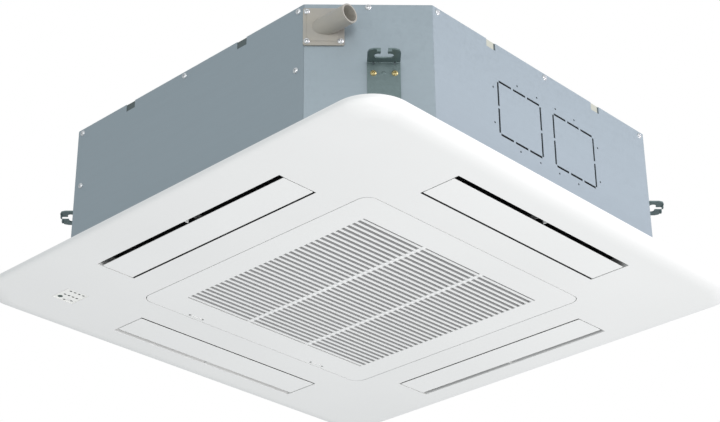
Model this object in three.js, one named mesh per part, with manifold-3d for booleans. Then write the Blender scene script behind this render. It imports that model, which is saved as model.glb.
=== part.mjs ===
// Four-way ceiling cassette air conditioner: a 950 mm decoration panel under an 840 mm casing.
// Millimetres, +Z up. The origin is the centre of the panel's underside. -Y is the front side and
// the near corner, which carries the drain socket, is at +X -Y.

import * as THREE from "three";
import { mergeVertices } from "three/addons/utils/BufferGeometryUtils.js";
import Module from "manifold-3d";

const wasm = await Module();
wasm.setup();

// ---------------------------------------------------------------- driving dimensions

const seat = 0.3; // gap between pieces that rest on each other
const sheet = 1.2; // galvanised sheet

// Decoration panel
const panelSize = 950;
const panelCorner = 66;
const panelRise = 20; // underside to ceiling
const panelWall = 3;
const borderWidth = 38; // curved border round the flat underside
const borderRise = 15;
const frameTop = 24; // top of the duct frames and the grille collar

// Air outlets, one on each side of the panel
const outletHalf = 217; // half of an outlet's length
const outletInner = 330; // from the panel's centre to the outlet's inner long wall
const outletWidth = 76;
const outletRib = 2; // thickness of the centre rib
const outletRibBottom = 16;

// Vanes
const vaneWidth = 64;
const vaneInnerGap = 4;
const vaneEndGap = 2;
const vaneThickness = 4;
const vanePivotInset = 12; // from the vane's inner edge to its axis
const vanePivotZ = 10;
const vanePinRadius = 3;
const vaneArmRadius = 4.5;
const vaneArmThickness = 4;
const stepperRadius = 10;
const stepperLength = 19;
const stepperOffset = 4; // from the motor body's axis up to its output shaft
const stepperSocketDepth = 8;

// Intake grille, its filter and its latches
const collarHalf = 270;
const collarCorner = 22;
const grilleGap = 1.4;
const grilleWall = 3;
const grilleSkirtTop = 14;
const grilleSkirtWall = 2.5;
const slatField = 216; // half of the slatted square
const slatPitch = 12;
const slatWidth = 5.8;
const slatHeight = 8;
const crossRibWidth = 3.6;
const hingeInset = 23; // from the collar wall to the hinge axis
const hingeZ = 5.5;
const hingePinRadius = 2.5;
const filterHalf = 226;
const filterRail = 12;
const filterBar = 4;
const filterDepth = 5.5;
const netThickness = 0.8;
const latchY = 150; // latches lie at +latchY and -latchY
const latchInset = 7; // from the grille's edge to the middle of the knob slot
const knobLength = 26;
const knobWidth = 5;
const knobSlotLength = 34;
const knobSlotWidth = 6;
const latchPlate = 2;
const keeperHalf = 7; // pocket in the collar beside each latch
const keeperBottom = 5;
const keeperTop = 11;

// Display in the left corner of the panel
const displayX = -349;
const displayY = -361;
const displaySide = 44;
const displayFace = 2.6;
const displayWallTop = 8;
const displayBoard = 1.6;
const receiverX = -12; // from the middle of the display
const receiverY = -12;
const receiverRadius = 4.6;
const buttonX = -9;
const buttonY = 12;
const buttonRadius = 3;
const buttonTravel = 1;

// Casing
const casingSize = 840;
const cornerCut = 141; // leg of each cut corner
const casingBottom = 28;
const casingTop = 274;
const sealMargin = 6; // from the panel's duct frames to the seal's inner edge
const sealCorner = 60;
const bottomFlange = 10;
const topFlange = 17;
const seamFlange = 22;
const linerThickness = 12;
const topLinerThickness = 10;
const noticeWidth = 22; // windows along the casing's top edge
const noticeHeight = 14;
const noticeX = 138;

// Knock-outs for branch ducts, on the right and left sheets
const knockoutWidth = 108;
const knockoutHeight = 98;
const knockoutX = 71;
const knockoutZ = 155.5;
const knockoutSlot = 3;
const knockoutBridge = 4;
const pilotRadius = 1.5;
const pilotMargin = 12;

// Hanger brackets, one on each cut corner
const hangerOffset = 22.5; // from the middle of the corner face
const hangerWidth = 51;
const hangerReach = 38.6;
const hangerThickness = 2.5;
const hangerZ = 167; // underside of the bracket's tab
const hangerFoot = 40;
const hangerSlotLength = 30;
const hangerSlotWidth = 12;
const hangerSlotOut = 20; // from the corner face to the middle of the slot
const hangerMouth = 11;
const hangerNip = 10; // cut off the tab's outer corners

// Drain socket on the near corner
const socketT = -69; // along the corner face
const socketDrop = 43; // from the casing's top to the socket's axis
const socketPlateWidth = 64;
const socketPlateHeight = 68;
const socketPlateThickness = 3;
const socketRadius = 16;
const socketBore = 13.5;
const socketReach = 56;
const wallPassage = 30; // reach of a cut through a corner's wall, each way
const stubRadius = 14;
const stubBore = 10.5;
const stubReach = 40;

// Drain pan, heat exchanger and bell mouth
const panTop = 74;
const panMouth = 246; // half of the square opening for the bell mouth
const panWall = 20;
const troughFloor = 54;
const troughMargin = 8;
const coilOuter = 315;
const coilDepth = 38;
const coilCorner = 110;
const coilHeadroom = 12.5; // under the top liner
const coilGap = 190; // the coil stops here on each side of the far corner
const endPlate = 1.5;
const bendCount = 4;
const bendRadius = 4;
const bendReach = 18;
const bellLap = 16; // of the bell mouth's plate over the pan's opening
const bellCorner = 30;
const bellWall = 2.5;
const bellMouthRadius = 185;
const throatRadius = 150;
const bellHeight = 42;

// Turbo fan and its motor
const fanRadius = 225;
const fanHeadroom = 30; // from the casing's top to the fan's back plate
const fanWall = 3;
const fanGap = 4;
const shroudHeight = 38;
const bladeCount = 7;
const bladeInner = 152;
const bladeSweep = 34; // degrees that a blade turns back
const bladeThickness = 3.4;
const hubRadius = 58;
const hubDepth = 80;
const hubShoulder = 115;
const hubBoss = 16;
const shaftRadius = 6;
const shaftGap = 0.3;
const shaftTip = 14; // of the shaft below the hub
const shaftSink = 8; // from the motor's top down to the shaft's end
const fanNutHeight = 10;
const fanMotorRadius = 62;
const fanMotorGap = 14; // between the motor and the hub's floor
const fanMotorFlange = 84;
const fanMotorFlangeThickness = 6;
const cushionInner = 62;

// Drain pump and float switch, in the near corner
const pumpOut = 440; // from the unit's axis to the pump's axis
const pumpRadius = 26;
const pumpWall = 2.5;
const pumpBottom = 62;
const pumpTop = 100;
const pumpInlet = 12;
const pumpInletLength = 12;
const pumpNozzleRadius = 8;
const pumpNozzleReach = 36;
const pumpMotorRadius = 22;
const pumpMotorHeight = 46;
const impellerRadius = 20;
const impellerShaft = 3;
const bracketSheet = 2;
const hoseRadius = 11.5;
const floatT = 46;
const floatRadius = 10;
const floatHeight = 12;
const stemRadius = 3;
const sumpFloor = 44;
const sumpInnerGap = 14; // from the pump to the sump's wall on the coil's side
const sumpOuterGap = 6;

// Refrigerant pipes at the far corner
const gasPipeRadius = 7.94;
const liquidPipeRadius = 4.76;
const pipeMiddle = -53.5; // middle of the pipes' plate, along the corner face
const pipeSpread = 21; // each pipe's distance from the middle of the plate
const pipeZ = 140;
const pipeReach = 44;
const pipeLead = 40; // spacing of the points that a pipe follows to its corner
const pipeRun = 30; // straight length at the coil
const pipePlateWidth = 84;
const pipePlateHeight = 76;
const pipePlateThickness = 2;
const pipePlateLap = 7; // of the plate over the rim of its window
const nutLength = 20;

// Electrical box under the bell mouth
const boxHalf = 160;
const boxWidth = 50;
const boxInset = 6; // from the pan's opening
const boxHeight = 38;
const boxWall = 1.5;
const boardThickness = 1.6;
const terminalSize = [64, 20, 16];

// Bolts that hold the panel to the drain pan
const boltX = 190;
const boltInset = 14; // from the collar wall
const boltRadius = 3;
const boltHeadRadius = 4.5;
const boltHeadHeight = 4;
const boltDepth = 14;
const tabWidth = 20;
const tabThickness = 3;

// ---------------------------------------------------------------- sizes that follow

const panelHalf = panelSize / 2;
const casingHalf = casingSize / 2;
const cornerDistance = (casingSize - cornerCut) / Math.SQRT2; // from the axis to a cut corner's face
const sideHalf = casingHalf - cornerCut; // half of a side's flat length
const outletOuter = outletInner + outletWidth;
const vaneHalf = outletHalf - vaneEndGap;
const vaneInner = outletInner + vaneInnerGap;
const vanePivotY = -(vaneInner + vanePivotInset);
const grilleHalf = collarHalf - grilleGap;
const grilleCorner = collarCorner - grilleGap;
const hingeX = collarHalf - hingeInset;
const sealBottom = frameTop + seat;
const panBottom = casingBottom + sheet + seat;
const sealTop = panBottom - seat;
const panInset = 2 * sheet + 2 * seat;
const sumpInner = pumpOut - pumpRadius - sumpInnerGap;
const sumpOuter = pumpOut + pumpRadius + sumpOuterGap;
const bellHalf = panMouth + bellLap;
const boxY = panMouth - boxInset - boxWidth;
const bellBottom = panTop + seat;
const bellTop = bellBottom + bellHeight;
const topPlateBottom = casingTop - sheet;
const topLinerTop = topPlateBottom - seat;
const topLinerBottom = topLinerTop - topLinerThickness;
const coilBottom = troughFloor + seat;
const coilTop = topLinerBottom - coilHeadroom;
const socketZ = casingTop - socketDrop;
const fanTop = casingTop - fanHeadroom;
const hubFloor = fanTop - hubDepth;
const shroudInlet = throatRadius + bellWall + fanGap + fanWall;
const shroudBottom = bellTop - 2 * fanGap;
const shroudTop = shroudBottom + shroudHeight;
const bladeBottom = bellTop + fanGap;
const fanMotorBottom = hubFloor + fanMotorGap;
const fanMotorTop = fanTop + fanGap;
const bracketZ = pumpTop + seat;
const pumpMotorBottom = bracketZ + bracketSheet + seat;

// ---------------------------------------------------------------- shapes

const CORNER_STEPS = 4;
const ROUND = 28;

/** A closed manifold solid from a three.js geometry, turned right side out. */
function solidOf(geometry) {
  const bare = new THREE.BufferGeometry().setAttribute(
    "position",
    (geometry.index ? geometry.toNonIndexed() : geometry).getAttribute("position"),
  );
  const merged = mergeVertices(bare, 1e-4);
  const build = (triVerts) =>
    new wasm.Manifold(
      new wasm.Mesh({ numProp: 3, vertProperties: merged.attributes.position.array, triVerts }),
    );
  const made = build(new Uint32Array(merged.index.array));
  return made.volume() < 0 ? build(new Uint32Array(merged.index.array).reverse()) : made;
}

/** A three.js geometry from a manifold solid. */
function geometryOf(solid) {
  const mesh = solid.getMesh();
  const geometry = new THREE.BufferGeometry();
  const stride = mesh.numProp;
  const points = new Float32Array(mesh.numVert * 3);
  for (let i = 0; i < mesh.numVert; i++) {
    points.set(mesh.vertProperties.subarray(i * stride, i * stride + 3), i * 3);
  }
  geometry.setAttribute("position", new THREE.BufferAttribute(points, 3));
  geometry.setIndex(new THREE.BufferAttribute(mesh.triVerts, 1));
  geometry.computeVertexNormals();
  return geometry;
}

const join = (solids) => solids.reduce((sum, next) => sum.add(next));
const cut = (body, tools) => tools.reduce((rest, tool) => rest.subtract(tool), body);

/** A box between two limits on each axis. */
function block([x0, x1], [y0, y1], [z0, z1]) {
  const geometry = new THREE.BoxGeometry(x1 - x0, y1 - y0, z1 - z0);
  return solidOf(geometry.translate((x0 + x1) / 2, (y0 + y1) / 2, (z0 + z1) / 2));
}

/** An upright prism of a shape. */
function prism(shape, z0, z1) {
  const settings = { depth: z1 - z0, bevelEnabled: false, curveSegments: CORNER_STEPS };
  return solidOf(new THREE.ExtrudeGeometry(shape, settings).translate(0, 0, z0));
}

/** A polygon shape from [x, y] pairs. */
const polygon = (points) => new THREE.Shape(points.map(([x, y]) => new THREE.Vector2(x, y)));

/** A bar along X whose section is given as [y, z] pairs. */
function barAlongX(section, x0, x1) {
  const geometry = new THREE.ExtrudeGeometry(polygon(section), { depth: x1 - x0, bevelEnabled: false });
  const basis = new THREE.Matrix4().makeBasis(
    new THREE.Vector3(0, 1, 0),
    new THREE.Vector3(0, 0, 1),
    new THREE.Vector3(1, 0, 0),
  );
  return solidOf(geometry.applyMatrix4(basis).translate(x0, 0, 0));
}

/** An upright cylinder. */
function disc(radius, z0, z1, [x, y] = [0, 0], sides = ROUND) {
  const geometry = new THREE.CylinderGeometry(radius, radius, z1 - z0, sides);
  return solidOf(geometry.rotateX(Math.PI / 2).translate(x, y, (z0 + z1) / 2));
}

/** A cylinder along X, centred on [y, z]. */
function rodAlongX(radius, x0, x1, [y, z], sides = 16) {
  const geometry = new THREE.CylinderGeometry(radius, radius, x1 - x0, sides);
  return solidOf(geometry.rotateZ(Math.PI / 2).translate((x0 + x1) / 2, y, z));
}

/** A cylinder along Y, centred on [x, z]. */
function rodAlongY(radius, y0, y1, [x, z], sides = 16) {
  const geometry = new THREE.CylinderGeometry(radius, radius, y1 - y0, sides);
  return solidOf(geometry.translate(x, (y0 + y1) / 2, z));
}

/** A body turned about Z from [radius, z] pairs that go round the section. */
function turned(section, sides = ROUND) {
  const loop = [...section, section[0]].map(([r, z]) => new THREE.Vector2(r, z));
  return solidOf(new THREE.LatheGeometry(loop, sides).rotateX(Math.PI / 2));
}

/** A tube along a smooth curve through points. */
function tubeThrough(points, radius, steps, sides = 8) {
  const path = new THREE.CatmullRomCurve3(points.map((p) => new THREE.Vector3(...p)));
  const ring = [];
  for (let i = 0; i < sides; i++) {
    const angle = (2 * Math.PI * i) / sides;
    ring.push([radius * Math.cos(angle), radius * Math.sin(angle)]);
  }
  const settings = { steps, extrudePath: path, bevelEnabled: false };
  return solidOf(new THREE.ExtrudeGeometry(polygon(ring), settings));
}

/** The outline of a square with rounded corners, as points that go round it. */
function squareOutline(half, radius) {
  const points = [];
  for (let corner = 0; corner < 4; corner++) {
    const middle = Math.PI / 4 + (corner * Math.PI) / 2;
    const x = Math.sign(Math.cos(middle)) * (half - radius);
    const y = Math.sign(Math.sin(middle)) * (half - radius);
    for (let i = 0; i <= CORNER_STEPS; i++) {
      const angle = middle - Math.PI / 4 + (i * Math.PI) / (2 * CORNER_STEPS);
      points.push([x + radius * Math.cos(angle), y + radius * Math.sin(angle)]);
    }
  }
  return points;
}

const square = (half, radius) => polygon(squareOutline(half, radius));

/** A shell of stacked outlines with equal point counts, closed by flat ends. */
function loft(outlines) {
  const count = outlines[0].points.length;
  const positions = outlines.flatMap(({ points, z }) => points.flatMap(([x, y]) => [x, y, z]));
  const index = [];
  for (let ring = 0; ring + 1 < outlines.length; ring++) {
    for (let i = 0; i < count; i++) {
      const a = ring * count + i;
      const b = ring * count + ((i + 1) % count);
      index.push(a, b, b + count, a, b + count, a + count);
    }
  }
  const top = (outlines.length - 1) * count;
  for (let i = 1; i + 1 < count; i++) {
    index.push(0, i + 1, i, top, top + i, top + i + 1);
  }
  const geometry = new THREE.BufferGeometry();
  geometry.setAttribute("position", new THREE.Float32BufferAttribute(positions, 3));
  geometry.setIndex(index);
  return solidOf(geometry);
}

/** The casing's eight-sided outline, moved inwards. */
function casingOutline(inset) {
  const half = casingHalf - inset;
  const flat = half - (cornerCut - inset * (2 - Math.SQRT2));
  return polygon([
    [half, -flat], [half, flat], [flat, half], [-flat, half],
    [-half, flat], [-half, -flat], [-flat, -half], [flat, -half],
  ]);
}

/** A ring that follows the casing between two insets. */
const casingRing = (outer, inner, z0, z1) =>
  prism(casingOutline(outer), z0, z1).subtract(prism(casingOutline(inner), z0 - 1, z1 + 1));

/** A solid turned about the unit's axis. */
const spun = (solid, degrees) => solid.rotate([0, 0, degrees]);

const SIDES = ["front", "right", "back", "left"];
const CORNERS = ["near", "right", "far", "left"];
const sideAngle = (k) => 90 * k;
const cornerAngle = (k) => 45 + 90 * k;

/** A point on a corner face's frame: along it, out from it, and up. */
function cornerPoint(k, along, out, z) {
  const angle = THREE.MathUtils.degToRad(cornerAngle(k));
  const distance = cornerDistance + out;
  return [
    along * Math.cos(angle) + distance * Math.sin(angle),
    along * Math.sin(angle) - distance * Math.cos(angle),
    z,
  ];
}

// ---------------------------------------------------------------- materials

const finish = (color, roughness, metalness = 0) =>
  new THREE.MeshStandardMaterial({ color, roughness, metalness });

const whitePlastic = finish(0xf0f0ee, 0.45);
const vanePlastic = finish(0xf2f2f0, 0.4);
const greyPlastic = finish(0x5a6062, 0.6);
const blackPlastic = finish(0x1c1e20, 0.6);
const milkyPlastic = finish(0xd6d2cb, 0.35);
const galvanised = finish(0x93a4ae, 0.45, 0.6);
const bracketSteel = finish(0x6f8285, 0.4, 0.7);
const foam = finish(0x2a2d2f, 0.95);
const polystyrene = finish(0xe8e6df, 0.9);
const aluminiumFins = finish(0xb9bfc4, 0.4, 0.9);
const copper = finish(0xb8703f, 0.35, 0.9);
const brass = finish(0xc3a04c, 0.35, 0.9);
const steel = finish(0xa9adb0, 0.35, 0.9);
const rubber = finish(0x202020, 0.9);
const boardGreen = finish(0x1f6b3a, 0.5);
const netGrey = finish(0x8b9091, 0.8);

const group = new THREE.Group();

/** Adds one named piece to a group. */
function piece(name, solid, material, parent = group) {
  const mesh = new THREE.Mesh(geometryOf(solid.asOriginal().simplify(1e-3)), material);
  mesh.name = name;
  parent.add(mesh);
  return mesh;
}

/** A group turned about the unit's axis, for what repeats on sides and corners. */
function turnedGroup(degrees) {
  const holder = new THREE.Group();
  holder.rotation.z = THREE.MathUtils.degToRad(degrees);
  group.add(holder);
  return holder;
}

// ---------------------------------------------------------------- decoration panel

/** The panel's curved shell between an inset and a lift from its outer skin. */
function panelShell(inset, lift, top) {
  const steps = 4;
  const outlines = [];
  for (let i = 0; i <= steps; i++) {
    const angle = (i / steps) * (Math.PI / 2);
    const narrowing = inset + borderWidth * (1 - Math.sin(angle));
    outlines.push({
      points: squareOutline(panelHalf - narrowing, panelCorner - narrowing),
      z: lift + borderRise * (1 - Math.cos(angle)),
    });
  }
  outlines.push({ points: squareOutline(panelHalf - inset, panelCorner - inset), z: top });
  return loft(outlines);
}

function outletFrame(k) {
  const outer = block(
    [-outletHalf - panelWall, outletHalf + panelWall],
    [-outletOuter - panelWall, -outletInner + panelWall],
    [panelWall / 2, frameTop],
  );
  return spun(outer, sideAngle(k));
}

function outletCuts(k) {
  const opening = block([-outletHalf, outletHalf], [-outletOuter, -outletInner], [-1, frameTop + 1]);
  const reach = outletHalf + panelWall + 1;
  const pins = rodAlongX(vanePinRadius + seat, -reach, reach, [vanePivotY, vanePivotZ]);
  return [spun(opening, sideAngle(k)), spun(pins, sideAngle(k))];
}

function outletCentreRib(k) {
  const rib = block(
    [-outletRib / 2, outletRib / 2],
    [-outletOuter - panelWall / 2, -outletInner + panelWall / 2],
    [outletRibBottom, frameTop],
  );
  return spun(rib, sideAngle(k));
}

function boltPlaces() {
  const y = collarHalf - boltInset;
  return [[-boltX, -y], [boltX, -y], [boltX, y], [-boltX, y]];
}

const tabTop = frameTop - 2;
const tabBottom = tabTop - tabThickness;

function buildPanel() {
  const shell = panelShell(0, 0, panelRise).subtract(panelShell(panelWall, panelWall, panelRise + 1));
  const collar = prism(square(collarHalf + panelWall, collarCorner + panelWall), panelWall / 2, frameTop);
  const inside = prism(square(collarHalf, collarCorner), -1, frameTop + 1);
  let body = join([shell, collar, ...SIDES.map((_, k) => outletFrame(k))]);
  body = cut(body, [inside, ...SIDES.flatMap((_, k) => outletCuts(k))]);
  body = join([body, ...SIDES.map((_, k) => outletCentreRib(k))]);
  for (const [x, y] of boltPlaces()) {
    const inner = Math.abs(y) - boltHeadRadius - tabThickness;
    const limits = [Math.sign(y) * inner, Math.sign(y) * (collarHalf + panelWall / 2)];
    limits.sort((a, b) => a - b);
    const tab = block([x - tabWidth / 2, x + tabWidth / 2], limits, [tabBottom, tabTop]);
    body = body.add(tab).subtract(disc(boltRadius + seat, tabBottom - 1, tabTop + 1, [x, y], 12));
  }
  const hingeReach = collarHalf + panelWall + 1;
  const keeper = (y) =>
    block(
      [-collarHalf - panelWall - 1, -collarHalf + 1],
      [y - keeperHalf, y + keeperHalf],
      [keeperBottom, keeperTop],
    );
  const display = block(
    [displayX - displaySide / 2 - seat, displayX + displaySide / 2 + seat],
    [displayY - displaySide / 2 - seat, displayY + displaySide / 2 + seat],
    [-1, panelWall + 1],
  );
  const hinge = rodAlongY(hingePinRadius + seat, -hingeReach, hingeReach, [hingeX, hingeZ]);
  piece("panel", cut(body, [hinge, keeper(latchY), keeper(-latchY), display]), whitePlastic);
}

function buildPanelSeal() {
  const outer = prism(casingOutline(bottomFlange + 2 * seat), sealBottom, sealTop);
  const innerHalf = outletInner - panelWall - sealMargin;
  const inner = prism(square(innerHalf, sealCorner), sealBottom - 1, sealTop + 1);
  const openings = SIDES.map((_, k) =>
    spun(
      block([-outletHalf, outletHalf], [-outletOuter, -outletInner], [sealBottom - 1, sealTop + 1]),
      sideAngle(k),
    ),
  );
  piece("panel_seal", cut(outer, [inner, ...openings]), foam);
}

function buildPanelBolts() {
  boltPlaces().forEach((place, i) => {
    const head = disc(boltHeadRadius, tabBottom - seat - boltHeadHeight, tabBottom - seat, place, 6);
    const shank = disc(boltRadius, tabBottom - seat - 1, panBottom + boltDepth - 1, place, 12);
    piece(`panel_bolt_${i + 1}`, head.add(shank), steel);
  });
}

// ---------------------------------------------------------------- vanes and their motors

function vaneBody() {
  const inner = -vaneInner;
  const outer = -vaneInner - vaneWidth;
  const lip = 1.5;
  const section = [
    [inner, lip], [inner - lip, 0], [outer + lip, 0], [outer, lip],
    [outer, vaneThickness / 2], [outer + 6, vaneThickness * 0.85],
    [(inner + outer) / 2, vaneThickness], [inner - 6, vaneThickness * 0.85],
    [inner, vaneThickness / 2],
  ];
  const blade = barAlongX(section, -vaneHalf, vaneHalf);
  const wallOuter = outletHalf + panelWall;
  const arms = [-1, 1].map((end) => {
    const limits = [end * vaneHalf, end * (vaneHalf - vaneArmThickness)].sort((a, b) => a - b);
    const stem = block(
      limits,
      [vanePivotY - vaneArmRadius, vanePivotY + vaneArmRadius],
      [vaneThickness / 2, vanePivotZ],
    );
    return stem.add(rodAlongX(vaneArmRadius, limits[0], limits[1], [vanePivotY, vanePivotZ]));
  });
  const idlePin = rodAlongX(vanePinRadius, -wallOuter, -vaneHalf + 1, [vanePivotY, vanePivotZ]);
  const drivePin = rodAlongX(
    vanePinRadius,
    vaneHalf - 1,
    wallOuter + stepperSocketDepth - 1,
    [vanePivotY, vanePivotZ],
  );
  return join([blade, ...arms, idlePin, drivePin]);
}

function stepperBody() {
  const face = outletHalf + panelWall + seat;
  const axis = [vanePivotY, vanePivotZ + stepperOffset];
  const can = rodAlongX(stepperRadius, face, face + stepperLength, axis, 20);
  const plug = block(
    [face + stepperLength * 0.3, face + stepperLength * 0.8],
    [vanePivotY - stepperRadius - 5, vanePivotY],
    [axis[1] - 6, axis[1] + 6],
  );
  const pivot = [vanePivotY, vanePivotZ];
  const socket = rodAlongX(vanePinRadius + seat, face - 1, face + stepperSocketDepth, pivot);
  return can.add(plug).subtract(socket);
}

function buildVanes() {
  SIDES.forEach((side, k) => {
    const holder = turnedGroup(sideAngle(k));
    piece(`vane_${side}`, vaneBody(), vanePlastic, holder);
    piece(`vane_motor_${side}`, stepperBody(), greyPlastic, holder);
  });
}

// ---------------------------------------------------------------- grille, filter and latches

const knobX = -(grilleHalf - latchInset);

function buildGrille() {
  const frame = prism(square(grilleHalf, grilleCorner), 0, grilleWall).subtract(
    block([-slatField, slatField], [-slatField, slatField], [-1, grilleWall + 1]),
  );
  const skirt = prism(square(grilleHalf, grilleCorner), grilleWall / 2, grilleSkirtTop).subtract(
    prism(
      square(grilleHalf - grilleSkirtWall, grilleCorner - grilleSkirtWall),
      0,
      grilleSkirtTop + 1,
    ),
  );
  const slats = [];
  const count = Math.round((2 * slatField) / slatPitch) - 1;
  for (let i = 0; i < count; i++) {
    const x = (i - (count - 1) / 2) * slatPitch;
    const across = [x - slatWidth / 2, x + slatWidth / 2];
    slats.push(block(across, [-slatField - 1, slatField + 1], [0, slatHeight]));
  }
  const ribs = [-1, 1].map((side) => {
    const y = (side * slatField) / 3;
    const across = [y - crossRibWidth / 2, y + crossRibWidth / 2];
    return block([-slatField - 1, slatField + 1], across, [0, slatHeight]);
  });
  const pins = [-1, 1].map((side) => {
    const limits = [side * (grilleHalf - grilleSkirtWall / 2), side * (collarHalf + panelWall - seat)];
    return rodAlongY(hingePinRadius, ...limits.sort((a, b) => a - b), [hingeX, hingeZ]);
  });
  const knobSlots = [latchY, -latchY].map((y) =>
    block(
      [knobX - knobSlotWidth / 2, knobX + knobSlotWidth / 2],
      [y - knobSlotLength / 2, y + knobSlotLength / 2],
      [-1, grilleWall + 1],
    ),
  );
  piece("grille", cut(join([frame, skirt, ...slats, ...ribs, ...pins]), knobSlots), whitePlastic);
}

function buildLatch(name, y) {
  const knob = block(
    [knobX - knobWidth / 2, knobX + knobWidth / 2],
    [y - knobLength / 2, y + knobLength / 2],
    [seat, grilleWall + seat + 1],
  );
  const plate = block(
    [-(grilleHalf - grilleSkirtWall - seat), knobX + 10],
    [y - knobSlotLength / 2 - 4, y + knobSlotLength / 2 + 4],
    [grilleWall + seat, grilleWall + seat + latchPlate],
  );
  piece(name, knob.add(plate), whitePlastic);
}

const filterBottom = slatHeight + seat;
const filterTop = filterBottom + filterDepth;

function buildFilter() {
  const ring = prism(square(filterHalf, 6), filterBottom, filterTop).subtract(
    prism(square(filterHalf - filterRail, 3), filterBottom - 1, filterTop + 1),
  );
  const bars = [-1, 1].flatMap((side) => {
    const at = (side * filterHalf) / 3;
    const long = filterHalf - filterRail / 2;
    const level = [filterBottom, filterTop];
    return [
      block([at - filterBar / 2, at + filterBar / 2], [-long, long], level),
      block([-long, long], [at - filterBar / 2, at + filterBar / 2], level),
    ];
  });
  piece("filter_frame", join([ring, ...bars]), greyPlastic);
  const netHalf = filterHalf - filterRail / 3;
  const net = prism(square(netHalf, 4), filterTop + seat, filterTop + seat + netThickness);
  piece("filter_net", net, netGrey);
}

// ---------------------------------------------------------------- display and its button

function buildDisplay() {
  const half = displaySide / 2;
  const rim = 3;
  const around = (grow) => [
    [displayX - half - grow, displayX + half + grow],
    [displayY - half - grow, displayY + half + grow],
  ];
  const face = block(...around(0), [0, panelWall + seat + 0.5]);
  const hollow = block(...around(-2), [displayFace, displayWallTop + 1]);
  const walls = block(...around(-0.5), [displayFace - 0.5, displayWallTop]);
  const ledge = block(...around(rim), [panelWall + seat, panelWall + seat + 1.5]);
  const receiverPlace = [displayX + receiverX, displayY + receiverY];
  const buttonPlace = [displayX + buttonX, displayY + buttonY];
  const receiver = disc(receiverRadius, -1, panelWall + 2, receiverPlace, 20);
  const buttonHole = disc(buttonRadius + seat, -1, panelWall + 2, buttonPlace, 20);
  piece("display_cover", cut(join([face, walls, ledge]), [hollow, receiver, buttonHole]), whitePlastic);

  const boardBottom = displayWallTop + seat;
  const board = block(...around(-0.5), [boardBottom, boardBottom + displayBoard]);
  const eye = disc(receiverRadius - seat, 0.5, boardBottom + 0.5, receiverPlace, 20);
  piece("display_board", board.add(eye), boardGreen);

  const cap = disc(buttonRadius, 0.2, boardBottom - buttonTravel - seat, buttonPlace, 20);
  const flange = disc(buttonRadius + 1.5, displayFace + seat, displayFace + seat + 1, buttonPlace, 20);
  piece("control_button", cap.add(flange), whitePlastic);
}

// ---------------------------------------------------------------- casing

/** The perforated line of a knock-out and its pilot holes, cut through the right side's sheet. */
function knockoutCuts() {
  const through = [casingHalf - sheet - 1, casingHalf + 1];
  const cuts = [];
  for (const y of [-knockoutX, knockoutX]) {
    const edges = [
      [y - knockoutWidth / 2, knockoutZ - knockoutHeight / 2, 0, knockoutHeight, 2],
      [y + knockoutWidth / 2, knockoutZ - knockoutHeight / 2, 0, knockoutHeight, 2],
      [y - knockoutWidth / 2, knockoutZ - knockoutHeight / 2, knockoutWidth, 0, 3],
      [y - knockoutWidth / 2, knockoutZ + knockoutHeight / 2, knockoutWidth, 0, 3],
    ];
    for (const [y0, z0, dy, dz, dashes] of edges) {
      const length = (dy + dz) / dashes;
      for (let i = 0; i < dashes; i++) {
        const from = i * length + knockoutBridge / 2;
        const to = (i + 1) * length - knockoutBridge / 2;
        const across = knockoutSlot / 2;
        cuts.push(
          dy > 0
            ? block(through, [y0 + from, y0 + to], [z0 - across, z0 + across])
            : block(through, [y0 - across, y0 + across], [z0 + from, z0 + to]),
        );
      }
    }
    const outward = Math.sign(y) * (knockoutWidth / 2 + pilotMargin);
    const inner = Math.sign(y) * -knockoutWidth * 0.43;
    const dots = [
      [y + outward, knockoutZ + knockoutHeight / 3],
      [y + outward, knockoutZ - knockoutHeight / 3],
      ...[1, -1].flatMap((up) => [
        [y + inner * 0.99, knockoutZ + up * (knockoutHeight / 2 + pilotMargin)],
        [y + Math.sign(y) * 4, knockoutZ + up * (knockoutHeight / 2 + pilotMargin)],
      ]),
    ];
    dots.forEach((dot) => cuts.push(rodAlongX(pilotRadius, ...through, dot, 6)));
  }
  return cuts;
}

/** Windows along the top edge, through which the top plate's flange shows. */
function topWindows() {
  return [-noticeX, noticeX].map((x) =>
    block(
      [x - noticeWidth / 2, x + noticeWidth / 2],
      [-casingHalf - 1, -casingHalf + sheet + seat / 2],
      [casingTop - noticeHeight, casingTop + 1],
    ),
  );
}

/** A sheet that wraps one side and the two corners next to it, with a seam flange at each end. */
function wrapSheet() {
  const beyond = casingHalf + 1;
  const gap = seat / 2;
  const frontSpan = [-sideHalf - gap, sideHalf + gap];
  const half = block([0, beyond], [-beyond, beyond], [0, casingTop + 1]);
  const middle = block(frontSpan, [-beyond, beyond], [0, casingTop + 1]);
  const skin = casingRing(0, sheet, casingBottom, casingTop);
  const foot = casingRing(0, bottomFlange, casingBottom, casingBottom + sheet);
  const seamTop = casingTop - topFlange - 2 * seat;
  const seamLevel = [casingBottom + 2 * sheet, seamTop];
  const seam = casingRing(sheet + seat, 2 * sheet + seat, ...seamLevel);
  const weld = casingRing(0, 2 * sheet + seat, ...seamLevel);
  const seamSpan = block([sideHalf - seamFlange, sideHalf + 8], [-beyond, beyond], [0, casingTop + 1]);
  const weldSpan = block([sideHalf + 2 * gap, sideHalf + 8], [-beyond, beyond], [0, casingTop + 1]);
  const body = join([
    skin.add(foot).intersect(half).subtract(middle),
    seam.intersect(seamSpan),
    weld.intersect(weldSpan),
  ]);
  return cut(body, [...topWindows().map((w) => spun(w, 90)), ...knockoutCuts()]);
}

/** The flat sheet of the front or back side. */
function flatSheet() {
  const gap = seat / 2;
  const span = block([-sideHalf + gap, sideHalf - gap], [-casingHalf - 1, 0], [0, casingTop + 1]);
  const skin = casingRing(0, sheet, casingBottom, casingTop);
  const foot = casingRing(0, bottomFlange, casingBottom, casingBottom + sheet);
  return cut(skin.add(foot).intersect(span), topWindows());
}

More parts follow.
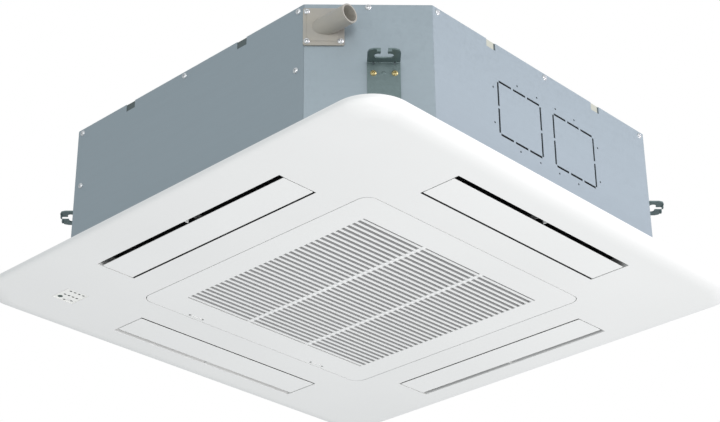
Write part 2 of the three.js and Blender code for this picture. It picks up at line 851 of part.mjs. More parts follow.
/** A cylinder through the near corner's wall for the drain socket's stub. */
function drainPassage(radius) {
  const geometry = new THREE.CylinderGeometry(radius, radius, 2 * wallPassage, 20);
  geometry.translate(socketT, -cornerDistance, socketZ);
  return spun(solidOf(geometry), cornerAngle(0));
}

/** A window through the far corner's wall for the two refrigerant pipes. */
function pipeWindow() {
  const across = pipePlateWidth / 2 - pipePlateLap;
  const up = pipePlateHeight / 2 - pipePlateLap;
  const window = block(
    [pipeMiddle - across, pipeMiddle + across],
    [-cornerDistance - wallPassage, -cornerDistance + wallPassage],
    [pipeZ - up, pipeZ + up],
  );
  return spun(window, cornerAngle(2));
}

function buildCasing() {
  piece("casing_front", flatSheet(), galvanised);
  piece("casing_back", flatSheet(), galvanised, turnedGroup(180));
  piece("casing_right", wrapSheet().subtract(drainPassage(stubRadius + 2 * seat)), galvanised);
  piece("casing_left", spun(wrapSheet(), 180).subtract(pipeWindow()), galvanised);

  const plate = prism(casingOutline(sheet + seat), topPlateBottom, casingTop);
  const flangeLevel = [casingTop - topFlange, topPlateBottom + sheet / 2];
  const flange = casingRing(sheet + seat, 2 * sheet + seat, ...flangeLevel);
  piece("top_plate", plate.add(flange), galvanised);

  const liner = casingRing(panInset, panInset + linerThickness, panTop + seat, topLinerBottom - seat);
  piece("casing_liner", cut(liner, [drainPassage(stubRadius + 2 * seat), pipeWindow()]), foam);
  const lid = prism(casingOutline(panInset), topLinerBottom, topLinerTop);
  const well = disc(fanMotorFlange + fanGap, topLinerBottom - 1, topLinerTop + 1);
  piece("top_liner", lid.subtract(well), foam);
}

// ---------------------------------------------------------------- hanger brackets

function hangerBody(offset) {
  const face = -cornerDistance - seat;
  const span = [offset - hangerWidth / 2, offset + hangerWidth / 2];
  const plate = block(span, [face - hangerThickness, face], [hangerFoot, hangerZ + hangerThickness]);
  const edge = -cornerDistance - hangerReach;
  const tab = prism(
    polygon([
      [span[0], face], [span[0], edge + hangerNip], [span[0] + hangerNip, edge],
      [span[1] - hangerNip, edge], [span[1], edge + hangerNip], [span[1], face],
    ]),
    hangerZ,
    hangerZ + hangerThickness,
  );
  const slotY = -cornerDistance - hangerSlotOut;
  const level = [hangerZ - 1, hangerZ + hangerThickness + 1];
  const straight = hangerSlotLength / 2 - hangerSlotWidth / 2;
  const slot = join([
    block(
      [offset - straight, offset + straight],
      [slotY - hangerSlotWidth / 2, slotY + hangerSlotWidth / 2],
      level,
    ),
    disc(hangerSlotWidth / 2, ...level, [offset - straight, slotY], 12),
    disc(hangerSlotWidth / 2, ...level, [offset + straight, slotY], 12),
    block([offset - hangerMouth / 2, offset + hangerMouth / 2], [edge - 1, slotY], level),
  ]);
  return plate.add(tab).subtract(slot);
}

function buildHangers() {
  CORNERS.forEach((corner, k) => {
    const offset = k % 2 === 0 ? hangerOffset : -hangerOffset;
    piece(`hanger_bracket_${corner}`, hangerBody(offset), bracketSteel, turnedGroup(cornerAngle(k)));
  });
}

// ---------------------------------------------------------------- drain socket, pump and float

function buildDrainSocket() {
  const angle = cornerAngle(0);
  const face = -cornerDistance - seat;
  const plate = block(
    [socketT - socketPlateWidth / 2, socketT + socketPlateWidth / 2],
    [face - socketPlateThickness, face],
    [socketZ - socketPlateHeight / 2, socketZ + socketPlateHeight / 2],
  );
  const [x, y] = cornerPoint(0, socketT, 0, socketZ);
  const outside = spun(
    block([-casingHalf, casingHalf], [face - casingHalf, face - socketPlateThickness / 2], [0, casingTop]),
    angle,
  );
  const pipe = rodAlongX(socketRadius, x - 30, x + socketReach, [y, socketZ], 24).intersect(outside);
  const bore = rodAlongX(socketBore, x - 4, x + socketReach + 1, [y, socketZ], 24);
  const rod = (radius, from, to) => {
    const geometry = new THREE.CylinderGeometry(radius, radius, to - from, 24);
    return spun(solidOf(geometry.translate(socketT, -cornerDistance - (from + to) / 2, socketZ)), angle);
  };
  const body = join([spun(plate, angle), pipe, rod(stubRadius, -stubReach, socketPlateThickness / 2)]);
  piece("drain_socket", cut(body, [bore, rod(stubBore, -stubReach - 1, 4)]), milkyPlastic);
}

function buildDrainPump() {
  const holder = turnedGroup(cornerAngle(0));
  const axis = [0, -pumpOut];
  const at = (solid) => solid.translate([0, -pumpOut, 0]);
  const shell = turned([
    [pumpInlet, pumpBottom - pumpInletLength], [pumpInlet, pumpBottom], [pumpRadius, pumpBottom],
    [pumpRadius, pumpTop], [impellerShaft + 2, pumpTop], [impellerShaft + 2, pumpTop - pumpWall],
    [pumpRadius - pumpWall, pumpTop - pumpWall], [pumpRadius - pumpWall, pumpBottom + pumpWall],
    [pumpInlet - pumpWall, pumpBottom + pumpWall], [pumpInlet - pumpWall, pumpBottom - pumpInletLength],
  ], 24);
  const nozzleZ = panTop + hoseRadius + 1;
  const nozzleAxis = [0, nozzleZ];
  const boreRadius = pumpNozzleRadius - pumpWall;
  const nozzle = rodAlongX(pumpNozzleRadius, -pumpNozzleReach, -pumpRadius + 4, nozzleAxis, 12);
  const nozzleBore = rodAlongX(boreRadius, -pumpNozzleReach - 1, -pumpRadius + 5, nozzleAxis, 12);
  piece("pump_housing", at(shell.add(nozzle).subtract(nozzleBore)), milkyPlastic, holder);

  const bladeLevel = [pumpBottom + 3 * pumpWall, pumpTop - 5 * pumpWall];
  const shaftTop = pumpMotorBottom + pumpMotorHeight / 3;
  const blade = block([-impellerRadius, impellerRadius], [-1, 1], bladeLevel);
  const impeller = join([
    disc(impellerShaft, bladeLevel[0], shaftTop, [0, 0], 12),
    blade,
    spun(blade, 90),
    disc(impellerRadius, bladeLevel[0] - 1.5, bladeLevel[0], [0, 0], 20),
  ]);
  piece("pump_impeller", at(impeller), blackPlastic, holder);

  const motor = disc(pumpMotorRadius, pumpMotorBottom, pumpMotorBottom + pumpMotorHeight, [0, 0], 24);
  const bore = disc(impellerShaft + seat, pumpMotorBottom - 1, shaftTop + 1, [0, 0], 12);
  piece("pump_motor", at(motor.subtract(bore)), blackPlastic, holder);

  const linerFace = -cornerDistance + panInset + linerThickness + seat;
  const reach = [-pumpRadius, floatT + floatRadius];
  const shelf = block(reach, [linerFace, -pumpOut + pumpRadius], [bracketZ, bracketZ + bracketSheet]);
  const back = block(
    reach,
    [linerFace, linerFace + bracketSheet],
    [bracketZ, topLinerBottom - seat],
  );
  const shaftHole = disc(impellerShaft + 2, bracketZ - 1, bracketZ + bracketSheet + 1, axis, 16);
  const stemHole = disc(stemRadius + seat, bracketZ - 1, bracketZ + bracketSheet + 1, [floatT, -pumpOut], 12);
  piece("pump_bracket", cut(shelf.add(back), [shaftHole, stemHole]), bracketSteel, holder);

  const stop = 2;
  const floatBottom = sumpFloor + 12;
  const stopRadius = stemRadius + 3;
  const shelfTop = bracketZ + bracketSheet;
  const floatAxis = [floatT, -pumpOut];
  const stem = join([
    disc(stemRadius, floatBottom - stop - seat, shelfTop + stop, floatAxis, 12),
    disc(stopRadius, floatBottom - stop - seat, floatBottom - seat, floatAxis, 12),
    disc(stopRadius, shelfTop + seat, shelfTop + stop, floatAxis, 12),
  ]);
  piece("float_stem", stem, milkyPlastic, holder);
  const float = disc(floatRadius, floatBottom, floatBottom + floatHeight, floatAxis, 20).subtract(
    disc(stemRadius + seat, floatBottom - 1, floatBottom + floatHeight + 1, floatAxis, 12),
  );
  piece("float", float, whitePlastic, holder);

  const hoseFrom = -pumpNozzleReach - seat;
  const stubEnd = -cornerDistance + stubReach + seat;
  const hose = tubeThrough([
    [hoseFrom, -pumpOut, nozzleZ],
    [hoseFrom - 14, -pumpOut, nozzleZ],
    [socketT - 4, -pumpOut + 4, nozzleZ + 24],
    [socketT - 4, stubEnd + 26, (nozzleZ + socketZ) / 2],
    [socketT, stubEnd + 24, socketZ - 16],
    [socketT, stubEnd + 12, socketZ],
    [socketT, stubEnd, socketZ],
  ], hoseRadius, 16);
  piece("drain_hose", hose, greyPlastic, holder);
}

// ---------------------------------------------------------------- drain pan, coil and bell mouth

function buildDrainPan() {
  const through = [panBottom - 1, panTop + 1];
  const openings = SIDES.map((_, k) =>
    spun(block([-outletHalf, outletHalf], [-outletOuter, -outletInner], through), sideAngle(k)),
  );
  const trough = prism(
    square(coilOuter + troughMargin, coilCorner + troughMargin), troughFloor, panTop + 1,
  ).subtract(
    prism(
      square(panMouth + panWall, coilCorner - coilDepth - troughMargin), troughFloor - 1, panTop + 2,
    ),
  );
  const sump = spun(
    block(
      [-pumpRadius - 10, floatT + floatRadius + 6],
      [-sumpOuter, -sumpInner],
      [sumpFloor, panTop + 1],
    ),
    cornerAngle(0),
  );
  const boltHoles = boltPlaces().map((place) =>
    disc(boltRadius + seat, panBottom - 1, panBottom + boltDepth, place, 12),
  );
  const body = prism(casingOutline(panInset), panBottom, panTop);
  const mouth = prism(square(panMouth, bellCorner), ...through);
  piece("drain_pan", cut(body, [mouth, trough, sump, ...openings, ...boltHoles]), polystyrene);
}

function buildCoil() {
  const inner = coilOuter - coilDepth;
  const ring = prism(square(coilOuter, coilCorner), coilBottom, coilTop).subtract(
    prism(square(inner, coilCorner - coilDepth), coilBottom - 1, coilTop + 1),
  );
  const gap = block([-coilOuter - 1, -coilGap], [coilGap, coilOuter + 1], [coilBottom - 1, coilTop + 1]);
  piece("coil_fins", ring.subtract(gap), aluminiumFins);

  const spacing = (coilTop - coilBottom) / bendCount;
  const middle = coilOuter - coilDepth / 2;
  const bends = (turn) => {
    const made = [block([-coilDepth / 2 - 1, coilDepth / 2 + 1], [0, endPlate], [coilBottom, coilTop])];
    for (let i = 0; i < bendCount; i++) {
      const z = coilBottom + (i + 0.5) * spacing;
      const reach = spacing / 4;
      made.push(
        tubeThrough([
          [turn, endPlate / 2, z - reach], [turn, bendReach * 0.55, z - reach * 0.95],
          [turn, bendReach, z - reach * 0.5], [turn, bendReach, z + reach * 0.5],
          [turn, bendReach * 0.55, z + reach * 0.95], [turn, endPlate / 2, z + reach],
        ], bendRadius, 6, 6),
      );
    }
    return join(made);
  };
  const offset = coilDepth / 4;
  piece("coil_end_left", bends(-offset).translate([-middle, coilGap + seat, 0]), steel);
  piece("coil_end_back", bends(offset).rotate([0, 0, 90]).translate([-coilGap - seat, middle, 0]), steel);
}

function buildPipes() {
  const middle = coilOuter - coilDepth / 2;
  const start = coilGap + seat + endPlate + seat;
  const face = -cornerDistance - seat;
  const holder = turnedGroup(cornerAngle(2));
  const plate = block(
    [pipeMiddle - pipePlateWidth / 2, pipeMiddle + pipePlateWidth / 2],
    [face - pipePlateThickness, face],
    [pipeZ - pipePlateHeight / 2, pipeZ + pipePlateHeight / 2],
  );
  const row = middle - coilDepth / 4;
  const pipes = [
    {
      name: "gas",
      radius: gasPipeRadius,
      along: pipeMiddle - pipeSpread,
      from: [[-start, row, pipeZ], [-start - pipeRun, row, pipeZ]],
    },
    {
      name: "liquid",
      radius: liquidPipeRadius,
      along: pipeMiddle + pipeSpread,
      from: [[-row, start, pipeZ], [-row, start + pipeRun, pipeZ]],
    },
  ];
  const holes = pipes.map(({ along, radius }) =>
    rodAlongY(radius + 2 * seat, face - 20, face + 20, [along, pipeZ], 20),
  );
  piece("pipe_plate", cut(plate, holes), galvanised, holder);
  for (const { name, radius, along, from } of pipes) {
    const outs = [-2 * pipeLead, -pipeLead, 0, pipeReach];
    const path = [...from, ...outs.map((out) => cornerPoint(2, along, out, pipeZ))];
    piece(`${name}_pipe`, tubeThrough(path, radius, 12, 10), copper);
    const tip = -cornerDistance - pipeReach + 4;
    const nut = rodAlongY(radius * 1.7, tip - nutLength / 2, tip + nutLength / 2, [along, pipeZ], 6);
    const bore = rodAlongY(radius + seat, tip - nutLength, tip + nutLength, [along, pipeZ], 16);
    piece(`${name}_flare_nut`, nut.subtract(bore), brass, holder);
  }
}

function buildBellMouth() {
  const plate = prism(square(bellHalf, bellCorner), bellBottom, bellBottom + bellWall).subtract(
    disc(bellMouthRadius, bellBottom - 1, bellBottom + bellWall + 1),
  );
  const steps = 5;
  const inside = [];
  for (let i = 0; i <= steps; i++) {
    const angle = (i / steps) * (Math.PI / 2);
    inside.push([
      throatRadius + (bellMouthRadius - throatRadius) * (1 - Math.sin(angle)),
      bellBottom + bellHeight * (1 - Math.cos(angle)),
    ]);
  }
  const outside = inside.map(([r, z]) => [r + bellWall, z === bellBottom ? z + bellWall : z]).reverse();
  const lipRadius = bellMouthRadius + 2 * bellWall;
  const lip = [[lipRadius, bellBottom + bellWall], [lipRadius, bellBottom]];
  piece("bell_mouth", plate.add(turned([...inside, ...outside, ...lip])), whitePlastic);
}

// ---------------------------------------------------------------- fan and its motor

/** The shroud's lower curve, from its inlet lip to its rim. */
function shroudCurve(offset) {
  const steps = 4;
  const width = fanRadius - shroudInlet;
  const height = shroudTop - shroudBottom;
  const points = [];
  for (let i = 0; i <= steps; i++) {
    const angle = (i / steps) * (Math.PI / 2);
    const across = -height * Math.cos(angle);
    const up = width * Math.sin(angle);
    const length = Math.hypot(across, up);
    points.push([
      shroudInlet + width * (1 - Math.cos(angle)) + (offset * across) / length,
      shroudBottom + height * Math.sin(angle) + (offset * up) / length,
    ]);
  }
  return points;
}

/** One backward-curved blade, upright. */
function fanBlade() {
  const steps = 4;
  const outer = fanRadius - 1;
  const edge = (shift) => {
    const points = [];
    for (let i = 0; i <= steps; i++) {
      const share = i / steps;
      const radius = bladeInner + (outer - bladeInner) * share;
      const taper = 1 - 0.5 * share;
      const angle = THREE.MathUtils.degToRad(bladeSweep * share) + (shift * taper) / radius;
      points.push([radius * Math.cos(angle), radius * Math.sin(angle)]);
    }
    return points;
  };
  const outline = polygon([...edge(-bladeThickness / 2), ...edge(bladeThickness / 2).reverse()]);
  return prism(outline, bladeBottom, fanTop - fanWall / 2);
}

function buildFan() {
  const bore = shaftRadius + shaftGap;
  const hub = turned([
    [fanRadius, fanTop - fanWall], [fanRadius, fanTop], [hubShoulder, fanTop], [hubRadius, hubFloor],
    [bore, hubFloor], [bore, hubFloor - 2 * fanWall], [hubBoss, hubFloor - 2 * fanWall],
    [hubBoss, hubFloor - fanWall], [hubRadius + 2, hubFloor - fanWall],
    [hubShoulder + 3, fanTop - fanWall],
  ]);
  const shroud = turned([...shroudCurve(0), ...shroudCurve(fanWall).reverse()]);
  const under = turned([
    ...shroudCurve(0.5), [fanRadius + 10, shroudTop + 0.5], [fanRadius + 10, shroudBottom - 20],
    [shroudInlet - 0.5, shroudBottom - 20],
  ]);
  const blade = fanBlade().subtract(under);
  const blades = [];
  for (let i = 0; i < bladeCount; i++) {
    blades.push(spun(blade, (360 * i) / bladeCount));
  }
  piece("fan_rotor", join([hub, shroud, ...blades]), greyPlastic);

  const nutTop = hubFloor - 2 * fanWall - seat;
  const shaftBottom = nutTop - shaftTip;
  const shaftTop = fanMotorTop - shaftSink;
  piece("motor_shaft", disc(shaftRadius, shaftBottom, shaftTop, [0, 0], 16), steel);
  const nut = disc(shaftRadius * 1.8, nutTop - fanNutHeight, nutTop, [0, 0], 6);
  const thread = disc(bore, nutTop - fanNutHeight - 1, nutTop + 1, [0, 0], 16);
  piece("fan_nut", nut.subtract(thread), steel);

  const can = join([
    disc(fanMotorRadius - 6, fanMotorBottom, fanMotorBottom + 8),
    disc(fanMotorRadius, fanMotorBottom + 6, fanMotorTop + 1),
    disc(fanMotorFlange, fanMotorTop, fanMotorTop + fanMotorFlangeThickness),
  ]);
  const well = disc(bore, fanMotorBottom - 1, shaftTop + 2, [0, 0], 16);
  piece("fan_motor", can.subtract(well), steel);

  const cushionBottom = fanMotorTop + fanMotorFlangeThickness + seat;
  const cushion = disc(fanMotorFlange, cushionBottom, topPlateBottom - seat);
  piece("motor_cushion", cushion.subtract(disc(cushionInner, cushionBottom - 1, casingTop)), rubber);
}

// ---------------------------------------------------------------- electrical box

function buildControlBox() {
  const top = bellBottom - seat;
  const bottom = top - boxHeight;
  const outer = block([-boxHalf, boxHalf], [boxY, boxY + boxWidth], [bottom, top]);
  const inner = block(
    [-boxHalf + boxWall, boxHalf - boxWall],
    [boxY + boxWall, boxY + boxWidth - boxWall],
    [bottom - 1, top - boxWall],
  );
  piece("control_box", outer.subtract(inner), galvanised);
  const cover = block([-boxHalf, boxHalf], [boxY, boxY + boxWidth], [bottom - seat - boxWall, bottom - seat]);
  piece("control_box_cover", cover, galvanised);

  const boardTop = top - boxWall - seat;
  const board = block(
    [-boxHalf + 4, boxHalf - 4], [boxY + 4, boxY + boxWidth - 4], [boardTop - boardThickness, boardTop],
  );
  piece("circuit_board", board, boardGreen);
  const [long, deep, high] = terminalSize;
  const under = boardTop - boardThickness - seat;
  const middle = boxY + boxWidth / 2;
  const start = -boxHalf + 12;
  const base = block(
    [start, start + long],
    [middle - deep / 2, middle + deep / 2],
    [under - high, under],
  );
  const slots = [1, 2, 3, 4, 5].map((i) => {
    const x = start + (i * long) / 6;
    const across = [middle - deep / 4, middle + deep / 4];
    return block([x - 2, x + 2], across, [under - high - 1, under - high + 5]);
  });
  piece("terminal_block", cut(base, slots), blackPlastic);
}

// ---------------------------------------------------------------- assembly

buildPanel();
buildPanelSeal();
buildPanelBolts();
buildVanes();
buildGrille();
buildLatch("latch_back", latchY);
buildLatch("latch_front", -latchY);
buildFilter();
buildDisplay();
buildCasing();
buildHangers();
buildDrainSocket();
buildDrainPump();
buildDrainPan();
buildCoil();
buildPipes();
buildBellMouth();
buildFan();
buildControlBox();

export default group;
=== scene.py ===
"""Four-way ceiling cassette air conditioner, dressed piece by piece around its fixed frame.

Sizes are millimetres in the frame's own axes, as in the source of the frame: +Z up, origin at the
middle of the decoration panel's underside, -Y the front side, and the near corner with the drain
socket at +X -Y. A finished piece's mesh is brought to metres when it is placed.
"""

import contextlib
import logging
import math
from dataclasses import dataclass
from enum import Enum
from typing import Callable, Iterator, Sequence

import bmesh
import bpy
from mathutils import Matrix, Vector


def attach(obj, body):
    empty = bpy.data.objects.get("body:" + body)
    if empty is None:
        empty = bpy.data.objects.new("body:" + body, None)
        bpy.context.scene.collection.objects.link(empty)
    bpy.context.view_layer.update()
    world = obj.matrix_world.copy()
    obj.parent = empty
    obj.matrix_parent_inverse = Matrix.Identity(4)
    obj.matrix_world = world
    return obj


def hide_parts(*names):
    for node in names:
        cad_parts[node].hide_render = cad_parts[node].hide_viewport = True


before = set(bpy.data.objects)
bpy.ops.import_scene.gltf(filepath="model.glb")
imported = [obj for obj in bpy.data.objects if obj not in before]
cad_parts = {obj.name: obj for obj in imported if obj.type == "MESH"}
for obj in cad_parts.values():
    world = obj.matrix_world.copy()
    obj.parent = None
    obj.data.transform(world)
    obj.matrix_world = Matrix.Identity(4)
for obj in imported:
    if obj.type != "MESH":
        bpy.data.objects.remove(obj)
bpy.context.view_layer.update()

LOG = logging.getLogger("cassette")
CASING_BODY = "casing"
TO_METRES = Matrix.Scale(0.001, 4)
SEAT = 0.3
NEAR_ZERO = 1e-3
FACING = 0.9
PAST = 1.0
WHITE = (1.0, 1.0, 1.0)
ENDS = (-1, 1)

Point = tuple[float, float, float]
Flat = tuple[float, float]
Colour = tuple[float, float, float]
Piece = bpy.types.Object


def turn_z(degrees: float) -> Matrix:
    """A turn about the unit's axis."""
    return Matrix.Rotation(math.radians(degrees), 4, "Z")


def on_wall(place: Point) -> Matrix:
    """Where a piece that points up goes to stand out of a wall that faces -Y."""
    return Matrix.Translation(place) @ Matrix.Rotation(math.pi / 2, 4, "X")


def quarter_turn(steps: int) -> Iterator[Flat]:
    """The sine and cosine at each step of a quarter turn, both its ends included."""
    for step in range(steps + 1):
        angle = step / steps * math.pi / 2
        yield math.sin(angle), math.cos(angle)


class Quarter(Enum):
    """A place that comes back at each quarter turn of the unit."""

    @property
    def label(self) -> str:
        """Its name as the frame's nodes spell it."""
        return self.name.lower()


class Side(Quarter):
    """The four sides of the unit, in quarter turns from the front."""

    FRONT = 0
    RIGHT = 1
    BACK = 2
    LEFT = 3

    @property
    def turn(self) -> Matrix:
        """The turn that brings a front piece to this side."""
        return turn_z(90 * self.value)


class Corner(Quarter):
    """The four cut corners, in quarter turns from the near one."""

    NEAR = 0
    RIGHT = 1
    FAR = 2
    LEFT = 3

    @property
    def turn(self) -> Matrix:
        """The turn that brings a piece facing -Y to this corner."""
        return turn_z(90 * self.value + 45)


class Axis(Enum):
    """The axis along which a round piece runs, with the turn that lays it so."""

    X = ((1, 0, 0), (0.0, math.pi / 2, 0.0))
    Y = ((0, 1, 0), (math.pi / 2, 0.0, 0.0))
    Z = ((0, 0, 1), (0.0, 0.0, 0.0))


# ---------------------------------------------------------------- modelling tools


def settle(name: str) -> Piece:
    """Names the new primitive and moves its place into its mesh.

    Args:
        name: The object's and the mesh's name.

    Returns:
        The active object, at the origin, unturned and unscaled.
    """
    piece = bpy.context.view_layer.objects.active
    piece.name = piece.data.name = name
    bpy.ops.object.transform_apply(location=True, rotation=True, scale=True)
    return piece


def take(*pieces: Piece) -> None:
    """Selects these objects alone and makes the first one active."""
    bpy.ops.object.select_all(action="DESELECT")
    for piece in pieces:
        piece.select_set(True)
    bpy.context.view_layer.objects.active = pieces[0]


@contextlib.contextmanager
def editing(piece: Piece, mode: str = "FACE", everything: bool = False) -> Iterator[Piece]:
    """Edit mode on one piece.

    Args:
        piece: The object to edit.
        mode: VERT, EDGE or FACE.
        everything: Whether all of it is selected at the start, or nothing.

    Yields:
        The same object.
    """
    take(piece)
    bpy.ops.object.mode_set(mode="EDIT")
    bpy.ops.mesh.select_mode(type=mode)
    bpy.ops.mesh.select_all(action="SELECT" if everything else "DESELECT")
    yield piece
    bpy.ops.object.mode_set(mode="OBJECT")


def pick_faces(piece: Piece, test: Callable[[Vector, Vector], bool]) -> None:
    """Selects the faces whose centre and normal pass a test."""
    mesh = bmesh.from_edit_mesh(piece.data)
    for face in mesh.faces:
        face.select_set(test(face.calc_center_median(), face.normal))
    bmesh.update_edit_mesh(piece.data)


def pick_edges(piece: Piece, test: Callable[[Vector, Vector], bool]) -> None:
    """Selects the edges whose two ends pass a test."""
    mesh = bmesh.from_edit_mesh(piece.data)
    for edge in mesh.edges:
        edge.select_set(test(edge.verts[0].co, edge.verts[1].co))
    bmesh.update_edit_mesh(piece.data)


def pick_open_vertices(piece: Piece) -> None:
    """Selects the vertices at the ends of a line."""
    mesh = bmesh.from_edit_mesh(piece.data)
    for vertex in mesh.verts:
        vertex.select_set(len(vertex.link_edges) == 1)
    mesh.select_flush_mode()
    bmesh.update_edit_mesh(piece.data)


def draw_out(step: Point) -> None:
    """Extrudes what is selected by a step."""
    bpy.ops.mesh.extrude_region_move(TRANSFORM_OT_translate={"value": step})


def face_out(piece: Piece) -> Piece:
    """Merges doubles and turns all faces outwards."""
    with editing(piece, "VERT", everything=True):
        bpy.ops.mesh.remove_doubles(threshold=NEAR_ZERO)
        bpy.ops.mesh.normals_make_consistent(inside=False)
    return piece


def block(name: str, low: Point, high: Point) -> Piece:
    """Adds a box primitive between two corners.

    Args:
        name: The new object's name.
        low: Its lowest corner.
        high: Its highest corner.

    Returns:
        The box.
    """
    bpy.ops.object.select_all(action="DESELECT")
    middle = [(a + b) / 2 for a, b in zip(low, high)]
    bpy.ops.mesh.primitive_cube_add(size=1, location=middle)
    bpy.context.active_object.scale = [b - a for a, b in zip(low, high)]
    return settle(name)


def rod(name: str, radius: float, start: Point, length: float, axis: Axis = Axis.Z,
        sides: int = 32) -> Piece:
    """Adds a cylinder primitive that starts at a point and runs along an axis.

    Args:
        name: The new object's name.
        radius: Its radius.
        start: The middle of its first end.
        length: Its length along the axis.
        axis: The axis it runs along.
        sides: How many flats make its round.

    Returns:
        The cylinder.
    """
    bpy.ops.object.select_all(action="DESELECT")
    along, turn = axis.value
    bpy.ops.mesh.primitive_cylinder_add(
        vertices=sides, radius=radius, depth=length,
        location=Vector(start) + Vector(along) * length / 2, rotation=turn)
    return settle(name)


def plate(name: str, half: Flat, radius: float, level: Flat, middle: Flat = (0.0, 0.0),
          steps: int = 8) -> Piece:
    """Makes an upright plate with rounded corners: a plane, its corners bevelled, then extruded.

    Args:
        name: The new object's name.
        half: Half of its length along X and along Y.
        radius: The corners' radius.
        level: Its lowest and highest Z.
        middle: The middle of its outline.
        steps: How many faces round each corner.

    Returns:
        The closed plate.
    """
    bpy.ops.object.select_all(action="DESELECT")
    bpy.ops.mesh.primitive_plane_add(size=2, location=(*middle, level[0]))
    bpy.context.active_object.scale = (*half, 1)
    piece = settle(name)
    with editing(piece, "VERT", everything=True):
        bpy.ops.mesh.bevel(offset=radius, segments=steps, affect="VERTICES", clamp_overlap=False)
        bpy.ops.mesh.select_all(action="SELECT")
        draw_out((0, 0, level[1] - level[0]))
    return face_out(piece)


def lathe(name: str, outline: Sequence[Flat], sides: int = 64) -> Piece:
    """Spins an outline about Z: a plane is merged to a point, drawn out and spun.

    Args:
        name: The new object's name.
        outline: Radius and height of each corner, in order round the section.
        sides: How many steps the spin takes.

    Returns:
        The closed turned solid.
    """
    bpy.ops.object.select_all(action="DESELECT")
    bpy.ops.mesh.primitive_plane_add(size=1)
    piece = settle(name)
    places = [Vector((radius, 0, height)) for radius, height in outline]
    with editing(piece, "VERT", everything=True):
        bpy.ops.mesh.merge(type="CENTER")
        bpy.ops.mesh.select_all(action="SELECT")
        bpy.ops.transform.translate(value=places[0])
        for before, after in zip(places, places[1:]):
            bpy.ops.mesh.extrude_vertices_move(TRANSFORM_OT_translate={"value": after - before})
        if outline[0][0] > 0 or outline[-1][0] > 0:
            pick_open_vertices(piece)
            bpy.ops.mesh.edge_face_add()
        bpy.ops.mesh.select_all(action="SELECT")
        bpy.ops.mesh.spin(steps=sides, angle=2 * math.pi, center=(0, 0, 0), axis=(0, 0, 1))
    return face_out(piece)


def finish_with(piece: Piece, kind: str, **settings: object) -> Piece:
    """Adds a modifier with its settings and applies it.

    Args:
        piece: The object to finish.
        kind: The modifier's type.
        settings: The modifier's own values.

    Returns:
        The same object.
    """
    take(piece)
    modifier = piece.modifiers.new(kind.title(), kind)
    for key, value in settings.items():
        setattr(modifier, key, value)
    bpy.ops.object.modifier_apply(modifier=modifier.name)
    return piece


def gather(*pieces: Piece) -> Piece:
    """Joins separate closed pieces into one object."""
    take(*pieces)
    bpy.ops.object.join()
    return bpy.context.view_layer.objects.active


def combine(piece: Piece, tool: Piece, operation: str) -> Piece:
    """Joins or cuts a piece with a tool, which is then removed."""
    finish_with(piece, "BOOLEAN", object=tool, operation=operation, solver="EXACT")
    bpy.data.objects.remove(tool)
    return piece


def cut(piece: Piece, *tools: Piece) -> Piece:
    """Cuts tools that stand clear of each other out of a piece."""
    return combine(piece, gather(*tools), "DIFFERENCE")


def weld(piece: Piece, *tools: Piece) -> Piece:
    """Joins each tool to a piece as one closed solid."""
    for tool in tools:
        combine(piece, tool, "UNION")
    return piece


def soften(piece: Piece, width: float, segments: int = 2, angle: float = 40.0) -> Piece:
    """Rounds the edges of a piece that are sharper than an angle."""
    return finish_with(piece, "BEVEL", width=width, segments=segments, limit_method="ANGLE",
                       angle_limit=math.radians(angle), use_clamp_overlap=True)


def smooth(piece: Piece, angle: float = 32.0) -> Piece:
    """Shades a piece smooth up to an angle between faces, with its flat faces left flat."""
    take(piece)
    bpy.ops.object.shade_smooth_by_angle(angle=math.radians(angle))
    return finish_with(piece, "WEIGHTED_NORMAL", weight=80, keep_sharp=True)


def moved(piece: Piece, move: Matrix) -> Piece:
    """Moves a piece's mesh."""
    piece.data.transform(move)
    return piece


def twin(piece: Piece, name: str, move: Matrix = Matrix.Identity(4)) -> Piece:
    """Copies a piece with its own mesh, moved to a new place.

    Args:
        piece: The object to copy.
        name: The copy's name.
        move: Where the copy goes, from where the piece is.

    Returns:
        The copy.
    """
    copy = piece.copy()
    copy.data = piece.data.copy()
    copy.name = copy.data.name = name
    bpy.context.scene.collection.objects.link(copy)
    return moved(copy, move)


def discard(*pieces: Piece) -> None:
    """Removes pieces that served as patterns."""
    for piece in pieces:
        bpy.data.objects.remove(piece)


def on_sides(pattern: Piece) -> list[Piece]:
    """Copies a front piece to the four sides and removes it."""
    made = [twin(pattern, pattern.name, side.turn) for side in Side]
    discard(pattern)
    return made


# ---------------------------------------------------------------- finishes


